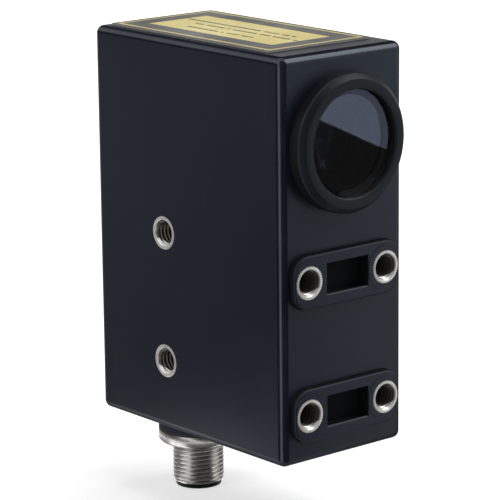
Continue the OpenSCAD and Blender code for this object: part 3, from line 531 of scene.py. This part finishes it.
def make_finishes():
    """One material for each slot of the record."""
    return {
        "housing_plastic": housing_plastic("housing_plastic_look"),
        "cover_plastic": moulded_plastic(
            "cover_plastic_look", HOUSING_TONES, HOUSING_ROUGHNESS, HOUSING_GLOSS),
        "rubber": rubber("rubber_look"),
        "hood_plastic": hood_plastic("hood_plastic_look"),
        "clear_glass": lens_glass("clear_glass_look"),
        "barrel_metal": moulded_plastic(
            "barrel_metal_look", ((0.002, 0.002, 0.002), (0.003, 0.003, 0.003)), 0.6, 0.15),
        "block_plastic": moulded_plastic("block_plastic_look", BLACK_TONES, 0.6, 0.2),
        "indicator_plastic": lamp_window("indicator_look"),
        "label_foil": gold_foil("label_foil_look"),
        "label_ink": label_print("label_ink_look"),
        "screw_steel": turned_metal(
            "screw_steel_look", (0.34, 0.34, 0.35), (0.50, 0.50, 0.52), 0.30, axis=1),
        "insert_nickel": turned_metal(
            "insert_nickel_look", (0.56, 0.55, 0.52), (0.74, 0.73, 0.70), 0.30, bore=True, metal=0.6),
        "shell_nickel": turned_metal(
            "shell_nickel_look", (0.41, 0.395, 0.375), (0.58, 0.565, 0.55), 0.25),
        "carrier_plastic": moulded_plastic("carrier_plastic_look", BLACK_TONES, 0.45, 0.2),
        "contact_gold": turned_metal(
            "contact_gold_look", (0.65, 0.46, 0.18), (0.85, 0.64, 0.28), 0.22, centre=CONNECTOR_AXIS),
        "board_laminate": board_laminate("board_laminate_look"),
        "chip_resin": moulded_plastic(
            "chip_resin_look", ((0.008, 0.008, 0.008), (0.014, 0.014, 0.014)), 0.55, 0.4),
        "can_aluminium": turned_metal(
            "can_aluminium_look", (0.60, 0.60, 0.61), (0.75, 0.75, 0.77), 0.35, axis=0),
        "led_ceramic": moulded_plastic(
            "led_ceramic_look", ((0.60, 0.60, 0.52), (0.72, 0.72, 0.64)), 0.35, 0.5),
        "glass_mask": print_mask("glass_mask_look"),
    }


def dress_nodes(finishes):
    """Gives every CAD node the material of its slot."""
    for part in RECORD["subparts"]:
        mesh = NODES[part["node"]].data
        mesh.materials.clear()
        mesh.materials.append(finishes[part["material_slot"]])


# Detailed pieces

def add_piece(name, mesh, matrix, material, slot, *nodes):
    """Links a finished mesh as a piece, which stands for the CAD nodes that are named last."""
    piece = bpy.data.objects.new(name, mesh)
    piece.matrix_world = matrix
    bpy.context.scene.collection.objects.link(piece)
    mesh.materials.append(material)
    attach(piece, BODY)
    if nodes:
        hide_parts(*nodes)


def facing(direction):
    """A turn that points a piece's z axis along a direction."""
    return direction.to_track_quat("Z", "Y").to_matrix().to_4x4()


def ring_points(bm, count, radius_at, z):
    """One round of vertices, with a function that gives the radius for an angle."""
    ring = []
    for k in range(count):
        a = 2 * math.pi * k / count
        r = radius_at(a)
        ring.append(bm.verts.new((r * math.cos(a), r * math.sin(a), z)))
    return ring


def bridge(bm, lower, upper):
    """Quads between two rounds of the same count."""
    count = len(lower)
    for k in range(count):
        n = (k + 1) % count
        bm.faces.new((lower[k], lower[n], upper[n], upper[k]))


def skin(bm, rounds):
    """Rounds of vertices joined one after another."""
    for lower, upper in zip(rounds, rounds[1:]):
        bridge(bm, lower, upper)


def finish_mesh(bm, name, sharp_degrees=32):
    """Turns a bmesh into a mesh, smooth but for its sharp edges."""
    bmesh.ops.recalc_face_normals(bm, faces=bm.faces)
    limit = math.radians(sharp_degrees)
    for face in bm.faces:
        face.smooth = True
    for edge in bm.edges:
        if len(edge.link_faces) == 2 and edge.calc_face_angle(0.0) > limit:
            edge.smooth = False
    mesh = bpy.data.meshes.new(name)
    bm.to_mesh(mesh)
    bm.free()
    return mesh


def thread_wave(turns):
    """Height of a 60 degree thread's flank, 0 at the root and 1 at the crest, with flats."""
    phase = turns % 1.0
    flank = 1.0 - abs(2.0 * phase - 1.0)
    return min(max((flank - THREAD_ROOT) / THREAD_FLANK, 0.0), 1.0)


def thread_rows(bm, count, pitch, low, high, radius_at):
    """Adds a threaded wall whose rows of vertices follow the helix, and returns its two end rounds."""
    steps = 12
    ends = {}
    rows = []
    for row in range(int((high - low) / pitch + 1.0) * steps + steps + 1):
        line = []
        for k in range(count):
            free = low + pitch * (row / steps - 1.0 + k / count)
            z = min(max(free, low), high)
            if z != free and (z, k) in ends:
                line.append(ends[z, k])
                continue
            a = 2 * math.pi * k / count
            r = radius_at((z - low) / pitch - k / count, z)
            vertex = bm.verts.new((r * math.cos(a), r * math.sin(a), z))
            line.append(vertex)
            if z != free:
                ends[z, k] = vertex
        rows.append(line)
    for row in range(len(rows) - 1):
        for k in range(count):
            if k + 1 < count:
                corners = [rows[row][k], rows[row][k + 1], rows[row + 1][k + 1], rows[row + 1][k]]
            elif row + steps + 1 < len(rows):
                far = row + steps
                corners = [rows[row][k], rows[far][0], rows[far + 1][0], rows[row + 1][k]]
            else:
                continue
            corners = list(dict.fromkeys(corners))
            if len(corners) > 2:
                bm.faces.new(corners)
    return [ends[low, k] for k in range(count)], [ends[high, k] for k in range(count)]


def insert_mesh(name, outer_r, length, knurled):
    """Threaded insert: face at z = 0, body towards +z, knurled rim or plain."""
    per_tooth = 4
    count = KNURL_COUNT * per_tooth if knurled else ROUND_COUNT
    edge = 0.12 * MM
    tooth = KNURL_DEPTH * MM if knurled else 0.0

    def outline(shrink):
        def radius(a):
            wave = abs(((a * KNURL_COUNT / (2 * math.pi)) % 1.0) * 2.0 - 1.0)
            return outer_r - shrink - tooth * (1.0 - wave)
        return radius

    mouth = INSERT_MOUTH_R * MM
    lip = 0.06 * MM
    core = INSERT_CORE_R * MM
    major = INSERT_MAJOR_R * MM

    def bore(turns, z):
        return max(major - (major - core) * thread_wave(turns), mouth - (z - lip))

    bm = bmesh.new()
    top, bottom = thread_rows(bm, count, INSERT_PITCH * MM, lip, length, bore)
    rounds = [bottom]
    rounds.append(ring_points(bm, count, outline(0.0), length))
    rounds.append(ring_points(bm, count, outline(0.0), edge))
    rounds.append(ring_points(bm, count, outline(edge * ROUND_SHARE), edge * ROUND_SHARE))
    rounds.append(ring_points(bm, count, outline(edge), 0.0))
    rounds.append(ring_points(bm, count, lambda a: mouth + lip, 0.0))
    rounds.append(top)
    skin(bm, rounds)
    return finish_mesh(bm, name)


def make_inserts(finish):
    """A threaded insert with true helical threads in place of each plain one."""
    for name in sorted(NODES):
        if not name.startswith(("front_insert", "side_insert")):
            continue
        low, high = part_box(name)
        middle = (low + high) / 2
        outer_r = (high.z - low.z) / 2
        in_front = name.startswith("front_insert")
        if in_front:
            inwards = Vector((0.0, 1.0, 0.0))
            mouth = Vector((middle.x, low.y, middle.z))
            length = high.y - low.y
        else:
            inwards = Vector((-math.copysign(1.0, middle.x), 0.0, 0.0))
            mouth = Vector((low.x if middle.x < 0 else high.x, middle.y, middle.z))
            length = high.x - low.x
        matrix = Matrix.Translation(mouth) @ facing(inwards)
        mesh = insert_mesh(name + "_mesh", outer_r, length, in_front)
        add_piece(name + "_threaded", mesh, matrix, finish["insert_nickel"], "insert_nickel", name)


def make_shell(finish):
    """The connector's metal shell with its coupling thread."""
    low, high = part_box("connector_shell")
    seal_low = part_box("connector_seal")[0].z
    carrier_low, carrier_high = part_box("contact_carrier")
    carrier_r = (carrier_high.x - carrier_low.x) / 2
    centre = Vector(((low.x + high.x) / 2, (low.y + high.y) / 2, 0.0))
    flange_r = (high.x - low.x) / 2
    flange_t = 2.8 * MM
    chamfer = 0.5 * MM
    small = 0.15 * MM
    corner = small * ROUND_SHARE
    blunt = small * 0.4
    crest = 6.0 * MM
    root = crest - COUPLING_DEPTH * MM
    bore_r = 4.8 * MM
    stem_r = 6.9 * MM
    relief = 0.8 * MM
    lead = 0.7 * MM
    lead_start = 0.25
    count = ROUND_COUNT
    flange_low = seal_low - flange_t
    thread_high = flange_low - relief
    thread_low = low.z

    def plain(r):
        return lambda a: r

    def thread(turns, z):
        from_end = min(z - thread_low, thread_high - z)
        top = root + (crest - root) * min(from_end / lead + lead_start, 1.0)
        return min(root + (crest - root) * thread_wave(turns), top)

    bm = bmesh.new()
    bore_top = ring_points(bm, count, plain(bore_r), high.z)
    rounds = [bore_top]
    for r, z in (
        (stem_r, high.z),
        (stem_r, seal_low),
        (flange_r - small, seal_low),
        (flange_r - corner, seal_low - corner),
        (flange_r, seal_low - small),
        (flange_r, flange_low + chamfer + small),
        (flange_r - blunt, flange_low + chamfer),
        (flange_r - chamfer, flange_low + corner),
        (flange_r - chamfer - small, flange_low),
        (root, flange_low),
    ):
        rounds.append(ring_points(bm, count, plain(r), z))
    thread_end, thread_start = thread_rows(bm, count, COUPLING_PITCH * MM, thread_low, thread_high, thread)
    rounds.append(thread_start)
    skin(bm, rounds)
    rounds = [thread_end]
    rounds.append(ring_points(bm, count, plain(carrier_r - small), low.z))
    rounds.append(ring_points(bm, count, plain(bore_r), low.z))
    skin(bm, rounds)
    bore_low = rounds[-1]
    bridge(bm, bore_low, bore_top)
    mesh = finish_mesh(bm, "connector_shell_mesh")
    add_piece(
        "connector_shell_threaded", mesh, Matrix.Translation(centre),
        finish["shell_nickel"], "shell_nickel", "connector_shell")


def arc(centre, radius, start, end, steps):
    """Points of a rounding in a half profile, by angles in degrees."""
    points = []
    for k in range(steps + 1):
        a = math.radians(start + (end - start) * k / steps)
        points.append((centre[0] + radius * math.cos(a), centre[1] + radius * math.sin(a)))
    return points


def make_hood(finish):
    """The lens hood: one ring with a wide soft chamfer, a rounded bore and the tail in the wall."""
    low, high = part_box("lens_hood")
    outer = (high.z - low.z) / 2 / MM
    front = WALL_FACE - low.y / MM
    tail = high.y / MM - WALL_FACE
    bore = 12.0
    bore_edge = 0.3
    slope = 1.25
    soft = 0.8
    crisp = 0.2
    lean = math.tan(math.radians(22.5))
    tail_outer = outer - 2.4
    tail_bore = 10.8
    ledge_bore = 10.1
    ledge_end = -2.5
    # Radius and height over the wall's face, from the front rim outwards and back through the tail
    profile = arc((bore + bore_edge, front - bore_edge), bore_edge, 180, 90, 5)
    face_end = outer - slope
    profile += arc((face_end - crisp * lean, front - crisp), crisp, 90, 45, 3)
    profile += arc((outer - soft, front - slope - soft * lean), soft, 45, 0, 8)
    profile += [(outer, 0.0), (tail_outer, 0.0), (tail_outer, -tail), (tail_bore, -tail)]
    profile += [(tail_bore, ledge_end), (ledge_bore, ledge_end), (ledge_bore, 0.0), (bore, 0.0)]
    count = 160
    bm = bmesh.new()
    rounds = [ring_points(bm, count, lambda a, r=r: r * MM, -h * MM) for r, h in profile]
    skin(bm, rounds + rounds[:1])
    mesh = finish_mesh(bm, "lens_hood_mesh", sharp_degrees=24)
    middle = (low + high) / 2
    matrix = Matrix.Translation((middle.x, WALL_FACE * MM, middle.z)) @ facing(Vector((0.0, 1.0, 0.0)))
    add_piece("lens_hood_turned", mesh, matrix, finish["hood_plastic"], "hood_plastic", "lens_hood")


def make_window_lips(finish):
    """The slanted lower lip of each window in the pads."""
    sunk = 0.02
    face = PAD_FACE
    back = face + WINDOW_LIP
    soft = 0.05
    soft_rise = 0.07
    half = WINDOW_HALF[0] + sunk
    bm = bmesh.new()
    for row in PAD_ROWS:
        sill = row - WINDOW_HALF[1]
        top = sill + WINDOW_LIP
        outline = (
            (face, sill - sunk), (face, sill), (face + soft, sill + soft_rise),
            (back - soft, top), (back, top), (back, sill - sunk))
        ends = [[bm.verts.new((x * MM, y * MM, z * MM)) for y, z in outline] for x in (-half, half)]
        bridge(bm, *ends)
        for end in ends:
            bm.faces.new(end)
    mesh = finish_mesh(bm, "window_lips_mesh")
    add_piece("window_lips", mesh, Matrix.Identity(4), finish["hood_plastic"], "hood_plastic")


def make_glass(finish):
    """The front glass with bevelled edges and a printed mask on its back."""
    low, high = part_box("front_glass")
    outer = (high.z - low.z) / 2
    depth = high.y - low.y
    bevel = 0.15 * MM
    mask = GLASS_MASK_R * MM
    flat = 0.9
    profile = (
        (outer - bevel, 0.0), (outer, bevel), (outer, depth - bevel), (outer - bevel, depth), (mask, depth))
    bm = bmesh.new()
    rounds = [ring_points(bm, ROUND_COUNT, lambda a, r=r: r, z) for r, z in profile]
    skin(bm, rounds)
    bm.faces.new(rounds[0])
    bm.faces.new(rounds[-1])
    mesh = finish_mesh(bm, "front_glass_mesh")
    middle = (low + high) / 2
    matrix = Matrix.Translation((middle.x, low.y, middle.z)) @ facing(Vector((0.0, 1.0, 0.0)))
    glass = window_glass("window_glass_look", depth)
    add_piece("front_glass_bevelled", mesh, matrix, glass, "clear_glass", "front_glass")
    mesh.materials.append(finish["glass_mask"])
    for face in mesh.polygons:
        reach = math.hypot(face.center.x, face.center.y)
        if reach > mask and face.normal.z > flat:
            face.material_index = 1


def make_label_marks(finish):
    """Rows of plain bars along the label."""
    chance = random.Random(11)
    thick = BAR_THICKNESS * MM
    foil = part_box("top_label")[1].z
    bm = bmesh.new()
    for middle, start, end in LABEL_ROWS:
        y = start
        while y < end:
            length = chance.uniform(*BAR_LENGTHS)
            place = Matrix.Translation((middle * MM, (y + length / 2) * MM, foil + thick / 2))
            size = Matrix.Diagonal((BAR_WIDTH * MM, length * MM, thick, 1.0))
            bmesh.ops.create_cube(bm, size=1.0, matrix=place @ size)
            y += length + chance.choice(BAR_GAPS)
    mesh = finish_mesh(bm, "label_marks_mesh")
    add_piece("label_marks", mesh, Matrix.Identity(4), finish["label_ink"], "label_ink")


# Stage, light and camera

# The floor, in metres: half its size, its tone, and its glow at two distances from the origin
FLOOR_HALF = 12.0
FLOOR_TONE = 0.80
FLOOR_GLOW = 0.45
FAR_GLOW = 0.70
GLOW_NEAR = 0.10
GLOW_FAR = 0.60
AMBIENT = 0.45

# Lamps: heading and height in degrees, distance and side in metres, watts, whether reflections show it
LAMP_TARGET = Vector((0.0, 30.0, 10.0)) * MM
LAMPS = {
    "key": (322.0, 37.0, 1.24, 0.8, 5.3, True),
    "fill": (172.0, 16.0, 1.24, 0.7, 6.0, False),
    "high": (300.0, 72.0, 1.30, 1.2, 9.3, False),
}

# The cards lie this much over the floor
CARD_LIFT = 0.3 * MM

# The rings' centre is that of the rounding of the vertical edge nearest the camera
STUDIO_CENTRE = Vector((WALLS_LOW.x + EDGE_RADIUS * MM, WALLS_LOW.y + EDGE_RADIUS * MM, 0.0))
STUDIO_RADIUS = 2000 * MM

# What reflections show round the object: heading in degrees, level
FLOOR_RING = (
    (0, 0.08), (22, 0.40), (98, 0.40), (112, 0.30), (122, 0.20), (130, 0.09), (138, 0.07), (146, 0.03),
    (176, 0.03), (182, 1.65), (205, 1.65), (213, 0.03), (276, 0.02), (300, 0.04), (308, 0.12), (316, 0.62),
    (322, 1.20), (332, 1.20), (341, 0.08), (360, 0.08))
FAR_RING = (
    (0, 0.08), (22, 0.40), (98, 0.40), (108, 0.30), (142, 0.28), (150, 0.03), (176, 0.03), (182, 1.5),
    (205, 1.5), (213, 0.03), (290, 0.02), (302, 0.10), (310, 0.35), (318, 1.05), (332, 1.05), (341, 0.08),
    (360, 0.08))
WALL_RING = (
    (0, 0.10), (22, 0.80), (94, 0.80), (103, 0.05), (150, 0.03), (176, 0.03), (182, 1.2), (205, 1.2),
    (213, 0.03), (296, 0.03), (308, 0.40), (318, 1.0), (334, 1.0), (344, 0.10), (360, 0.10))
UPPER_RING = (
    (0, 0.04), (78, 0.02), (92, 0.25), (106, 0.80), (118, 1.05), (150, 1.05), (158, 1.6), (190, 1.6),
    (198, 0.95), (204, 0.95), (212, 0.04), (294, 0.04), (306, 0.60), (314, 0.85), (345, 0.85), (356, 0.04),
    (360, 0.04))
COUPLING_RING = (
    (0, 0.26), (20, 0.28), (120, 0.30), (146, 0.55), (156, 1.9), (190, 1.9), (204, 0.15), (285, 0.15),
    (298, 1.2), (340, 1.2), (352, 0.28), (360, 0.26))
FLANGE_RING = (
    (0, 0.60), (20, 0.70), (110, 1.10), (146, 1.15), (154, 1.50), (176, 1.50), (188, 0.95), (320, 0.85),
    (350, 0.80), (360, 0.60))

# How the near floor's levels change with the distance in millimetres: less close by, more far off
FLOOR_FALL = ((0, 0.5), (110, 0.65), (200, 0.9), (330, 1.0), (450, 1.9), (600, 1.9))

# How much of that change each heading takes: none in the tall white stretch beside the camera
FALL_SHARE = ((0, 1.0), (176, 1.0), (181, 0.0), (206, 0.0), (211, 1.0), (360, 1.0))

# Where the rings end: distances from their centres, and heights as shares of the studio's radius
RING_START = 5 * MM
FLOOR_REACH = 600 * MM
COUPLING_REACH = 35 * MM
FLANGE_REACH = 56 * MM
UPPER_REACH = 0.50
WALL_RISE = 0.325
UPPER_RISE = 0.95
RING_COUNT = 96

# Corners on the floor of the two cards that the front glass mirrors, in millimetres, and their colours
GLASS_DARK = ((287, -265), (378, -520), (230, -520), (180, -300), (200, -200), (262, -195))
GLASS_BRIGHT = ((287, -265), (330, -200), (520, -200), (520, -520), (378, -520))
GLASS_DARK_TINT = (0.06, 0.06, 0.06)
GLASS_BRIGHT_TINT = (0.75, 0.88, 1.20)


def make_floor():
    """A pale floor at the object's lowest point. It keeps the object's shadow."""
    mesh = bpy.data.meshes.new("floor")
    corners = ((-1, -1), (1, -1), (1, 1), (-1, 1))
    mesh.from_pydata([(x * FLOOR_HALF, y * FLOOR_HALF, cad_low.z) for x, y in corners], [], [(0, 1, 2, 3)])
    floor = bpy.data.objects.new("floor", mesh)
    bpy.context.scene.collection.objects.link(floor)
    s = Shade("floor_look")
    reach = s.add("ShaderNodeVectorMath", operation="LENGTH")
    s.link(s.place, reach.inputs[0])
    level = s.between(reach.outputs["Value"], GLOW_NEAR, GLOW_FAR, FLOOR_GLOW, FAR_GLOW)
    diffuse = s.add("ShaderNodeBsdfDiffuse")
    diffuse.inputs["Color"].default_value = rgba(FLOOR_TONE, FLOOR_TONE, FLOOR_TONE)
    glow = s.add("ShaderNodeEmission")
    s.link(s.math("MULTIPLY", s.seen(), level), glow.inputs["Strength"])
    total = s.add("ShaderNodeAddShader")
    s.link(diffuse.outputs["BSDF"], total.inputs[0])
    s.link(glow.outputs["Emission"], total.inputs[1])
    s.link(total.outputs["Shader"], s.output.inputs["Surface"])
    s.material.cycles.emission_sampling = "NONE"
    mesh.materials.append(s.material)


def add_card(name, points, faces, paint):
    """A studio card that only reflections and clear glass show."""
    mesh = bpy.data.meshes.new(name)
    mesh.from_pydata(points, [], faces)
    card = bpy.data.objects.new(name, mesh)
    bpy.context.scene.collection.objects.link(card)
    card.visible_camera = False
    card.visible_diffuse = False
    card.visible_shadow = False
    s = Shade(name + "_look")
    glow = s.add("ShaderNodeEmission")
    s.feed(glow.inputs["Color"], paint(s))
    s.link(glow.outputs["Emission"], s.output.inputs["Surface"])
    s.material.cycles.emission_sampling = "NONE"
    mesh.materials.append(s.material)


def stepped(s, value, stops):
    """Level by value, with straight lines between the stops."""
    ramp = s.add("ShaderNodeFloatCurve")
    curve = ramp.mapping.curves[0]
    end = stops[-1][0]
    top = max(level for _, level in stops)
    curve.points[0].location = (0.0, stops[0][1] / top)
    curve.points[-1].location = (1.0, stops[-1][1] / top)
    for place, level in stops[1:-1]:
        curve.points.new(place / end, level / top)
    for point in curve.points:
        point.handle_type = "VECTOR"
    ramp.mapping.update()
    s.link(s.math("DIVIDE", value, end), ramp.inputs["Value"])
    return s.math("MULTIPLY", ramp.outputs["Value"], top)


def ring_paint(centre, stops, fall):
    """Paint whose level follows the heading from a centre and, where a fall is given, the distance."""
    def paint(s):
        x, y, z = s.parts()
        x = s.math("SUBTRACT", x, centre.x)
        y = s.math("SUBTRACT", y, centre.y)
        turn = s.math("DIVIDE", s.math("ARCTAN2", y, x), 2 * math.pi)
        heading = s.math("MULTIPLY", s.math("FRACT", s.math("ADD", turn, 1.0)), 360.0)
        level = stepped(s, heading, stops)
        if fall is None:
            return level
        reach = s.math("SQRT", s.math("ADD", s.math("MULTIPLY", x, x), s.math("MULTIPLY", y, y)))
        change = s.math("SUBTRACT", stepped(s, s.math("DIVIDE", reach, MM), fall), 1.0)
        change = s.math("MULTIPLY", change, stepped(s, heading, FALL_SHARE))
        return s.math("MULTIPLY", level, s.math("ADD", change, 1.0))
    return paint


def add_ring(name, centre, profile, stops, fall=None):
    """A lathe-shaped card round a centre, from (radius, height) points."""
    points = []
    faces = []
    for k in range(RING_COUNT):
        a = 2 * math.pi * k / RING_COUNT
        points += [(centre.x + r * math.cos(a), centre.y + r * math.sin(a), z) for r, z in profile]
    rows = len(profile)
    for k in range(RING_COUNT):
        near = k * rows
        far = (k + 1) % RING_COUNT * rows
        faces += [(near + j, near + j + 1, far + j + 1, far + j) for j in range(rows - 1)]
    add_card(name, points, faces, ring_paint(centre, stops, fall))


def make_cards():
    """Grey and white cards for the reflections: rings round the object and two cards for the glass."""
    floor = cad_low.z + CARD_LIFT
    rim = STUDIO_RADIUS
    wall_top = rim * WALL_RISE
    near_floor = ((RING_START, floor), (FLOOR_REACH, floor))
    upper = ((rim, wall_top), (rim * UPPER_REACH, rim * UPPER_RISE))
    add_ring("ring_floor", STUDIO_CENTRE, near_floor, FLOOR_RING, FLOOR_FALL)
    add_ring("ring_far", STUDIO_CENTRE, ((FLOOR_REACH, floor), (rim, floor)), FAR_RING)
    add_ring("ring_wall", STUDIO_CENTRE, ((rim, floor), (rim, wall_top)), WALL_RING)
    add_ring("ring_upper", STUDIO_CENTRE, upper, UPPER_RING)
    axis = Vector((*CONNECTOR_AXIS, 0.0)) * MM
    lifted = floor + CARD_LIFT
    add_ring("ring_coupling", axis, ((RING_START, lifted), (COUPLING_REACH, lifted)), COUPLING_RING)
    add_ring("ring_flange", axis, ((COUPLING_REACH, lifted), (FLANGE_REACH, lifted)), FLANGE_RING)
    for name, corners, tint in (
        ("card_dark", GLASS_DARK, GLASS_DARK_TINT),
        ("card_bright", GLASS_BRIGHT, GLASS_BRIGHT_TINT),
    ):
        places = [(x * MM, y * MM, lifted) for x, y in corners]
        add_card(name, places, [tuple(range(len(places)))], lambda s, tint=tint: rgba(*tint))


def make_world():
    """White to the camera and in reflections, a softer ambient light for the rest."""
    world = bpy.data.worlds.new("studio")
    bpy.context.scene.world = world
    world.use_nodes = True
    s = Nodes(world.node_tree, "ShaderNodeOutputWorld")
    back = s.add("ShaderNodeBackground")
    back.inputs["Color"].default_value = rgba(1.0, 1.0, 1.0)
    s.link(s.between(s.seen(), 0.0, 1.0, AMBIENT, 1.0), back.inputs["Strength"])
    s.link(back.outputs["Background"], s.output.inputs["Surface"])


def add_softbox(name, place, target, side, watts, mirrored):
    """A square lamp that looks at a target."""
    light = bpy.data.lights.new(name, "AREA")
    light.shape = "RECTANGLE"
    light.size = side
    light.size_y = side
    light.energy = watts
    lamp = bpy.data.objects.new(name, light)
    bpy.context.scene.collection.objects.link(lamp)
    lamp.location = place
    lamp.rotation_euler = (target - place).to_track_quat("-Z", "Y").to_euler()
    lamp.visible_glossy = mirrored


def camera_axes():
    """Right, up and forward of the photograph's camera."""
    forward = Vector((
        math.sin(CAMERA_YAW) * math.cos(CAMERA_PITCH),
        math.cos(CAMERA_YAW) * math.cos(CAMERA_PITCH),
        -math.sin(CAMERA_PITCH),
    ))
    right = Vector((math.cos(CAMERA_YAW), -math.sin(CAMERA_YAW), 0.0))
    up = right.cross(forward)
    turned_right = math.cos(CAMERA_ROLL) * right + math.sin(CAMERA_ROLL) * up
    turned_up = -math.sin(CAMERA_ROLL) * right + math.cos(CAMERA_ROLL) * up
    return turned_right, turned_up, forward


def make_camera():
    """The photograph's camera, aimed by its rotation and by the shift of its frame."""
    right, up, forward = camera_axes()
    data = bpy.data.cameras.new("camera")
    data.sensor_width = SENSOR_WIDTH
    data.lens = FOCAL_PIXELS / PHOTO_SIZE * SENSOR_WIDTH
    data.shift_x = -(AIM_PIXEL[0] - PHOTO_SIZE / 2) / PHOTO_SIZE
    data.shift_y = (AIM_PIXEL[1] - PHOTO_SIZE / 2) / PHOTO_SIZE
    data.clip_start = 10 * MM
    data.clip_end = 50000 * MM
    camera = bpy.data.objects.new("camera", data)
    bpy.context.scene.collection.objects.link(camera)
    turn = Matrix((right, up, -forward)).transposed().to_4x4()
    camera.matrix_world = Matrix.Translation(AIM_POINT - forward * CAMERA_DISTANCE) @ turn
    bpy.context.scene.camera = camera


def place_round(heading, height, reach):
    """A point round the object, from two angles in degrees and a distance."""
    a = math.radians(heading)
    e = math.radians(height)
    return Vector((math.cos(a) * math.cos(e), math.sin(a) * math.cos(e), math.sin(e))) * reach


def make_lights():
    """A key lamp before the front, a fill beside the left side and a high lamp over the top."""
    for name, (heading, height, reach, side, watts, mirrored) in LAMPS.items():
        place = LAMP_TARGET + place_round(heading, height, reach)
        add_softbox(name, place, LAMP_TARGET, side, watts, mirrored)


finishes = make_finishes()
make_camera()
dress_nodes(finishes)
make_inserts(finishes)
make_shell(finishes)
make_hood(finishes)
make_window_lips(finishes)
make_glass(finishes)
make_label_marks(finishes)
make_floor()
make_cards()
make_world()
make_lights()

scene = bpy.context.scene
scene.view_settings.view_transform = "Standard"
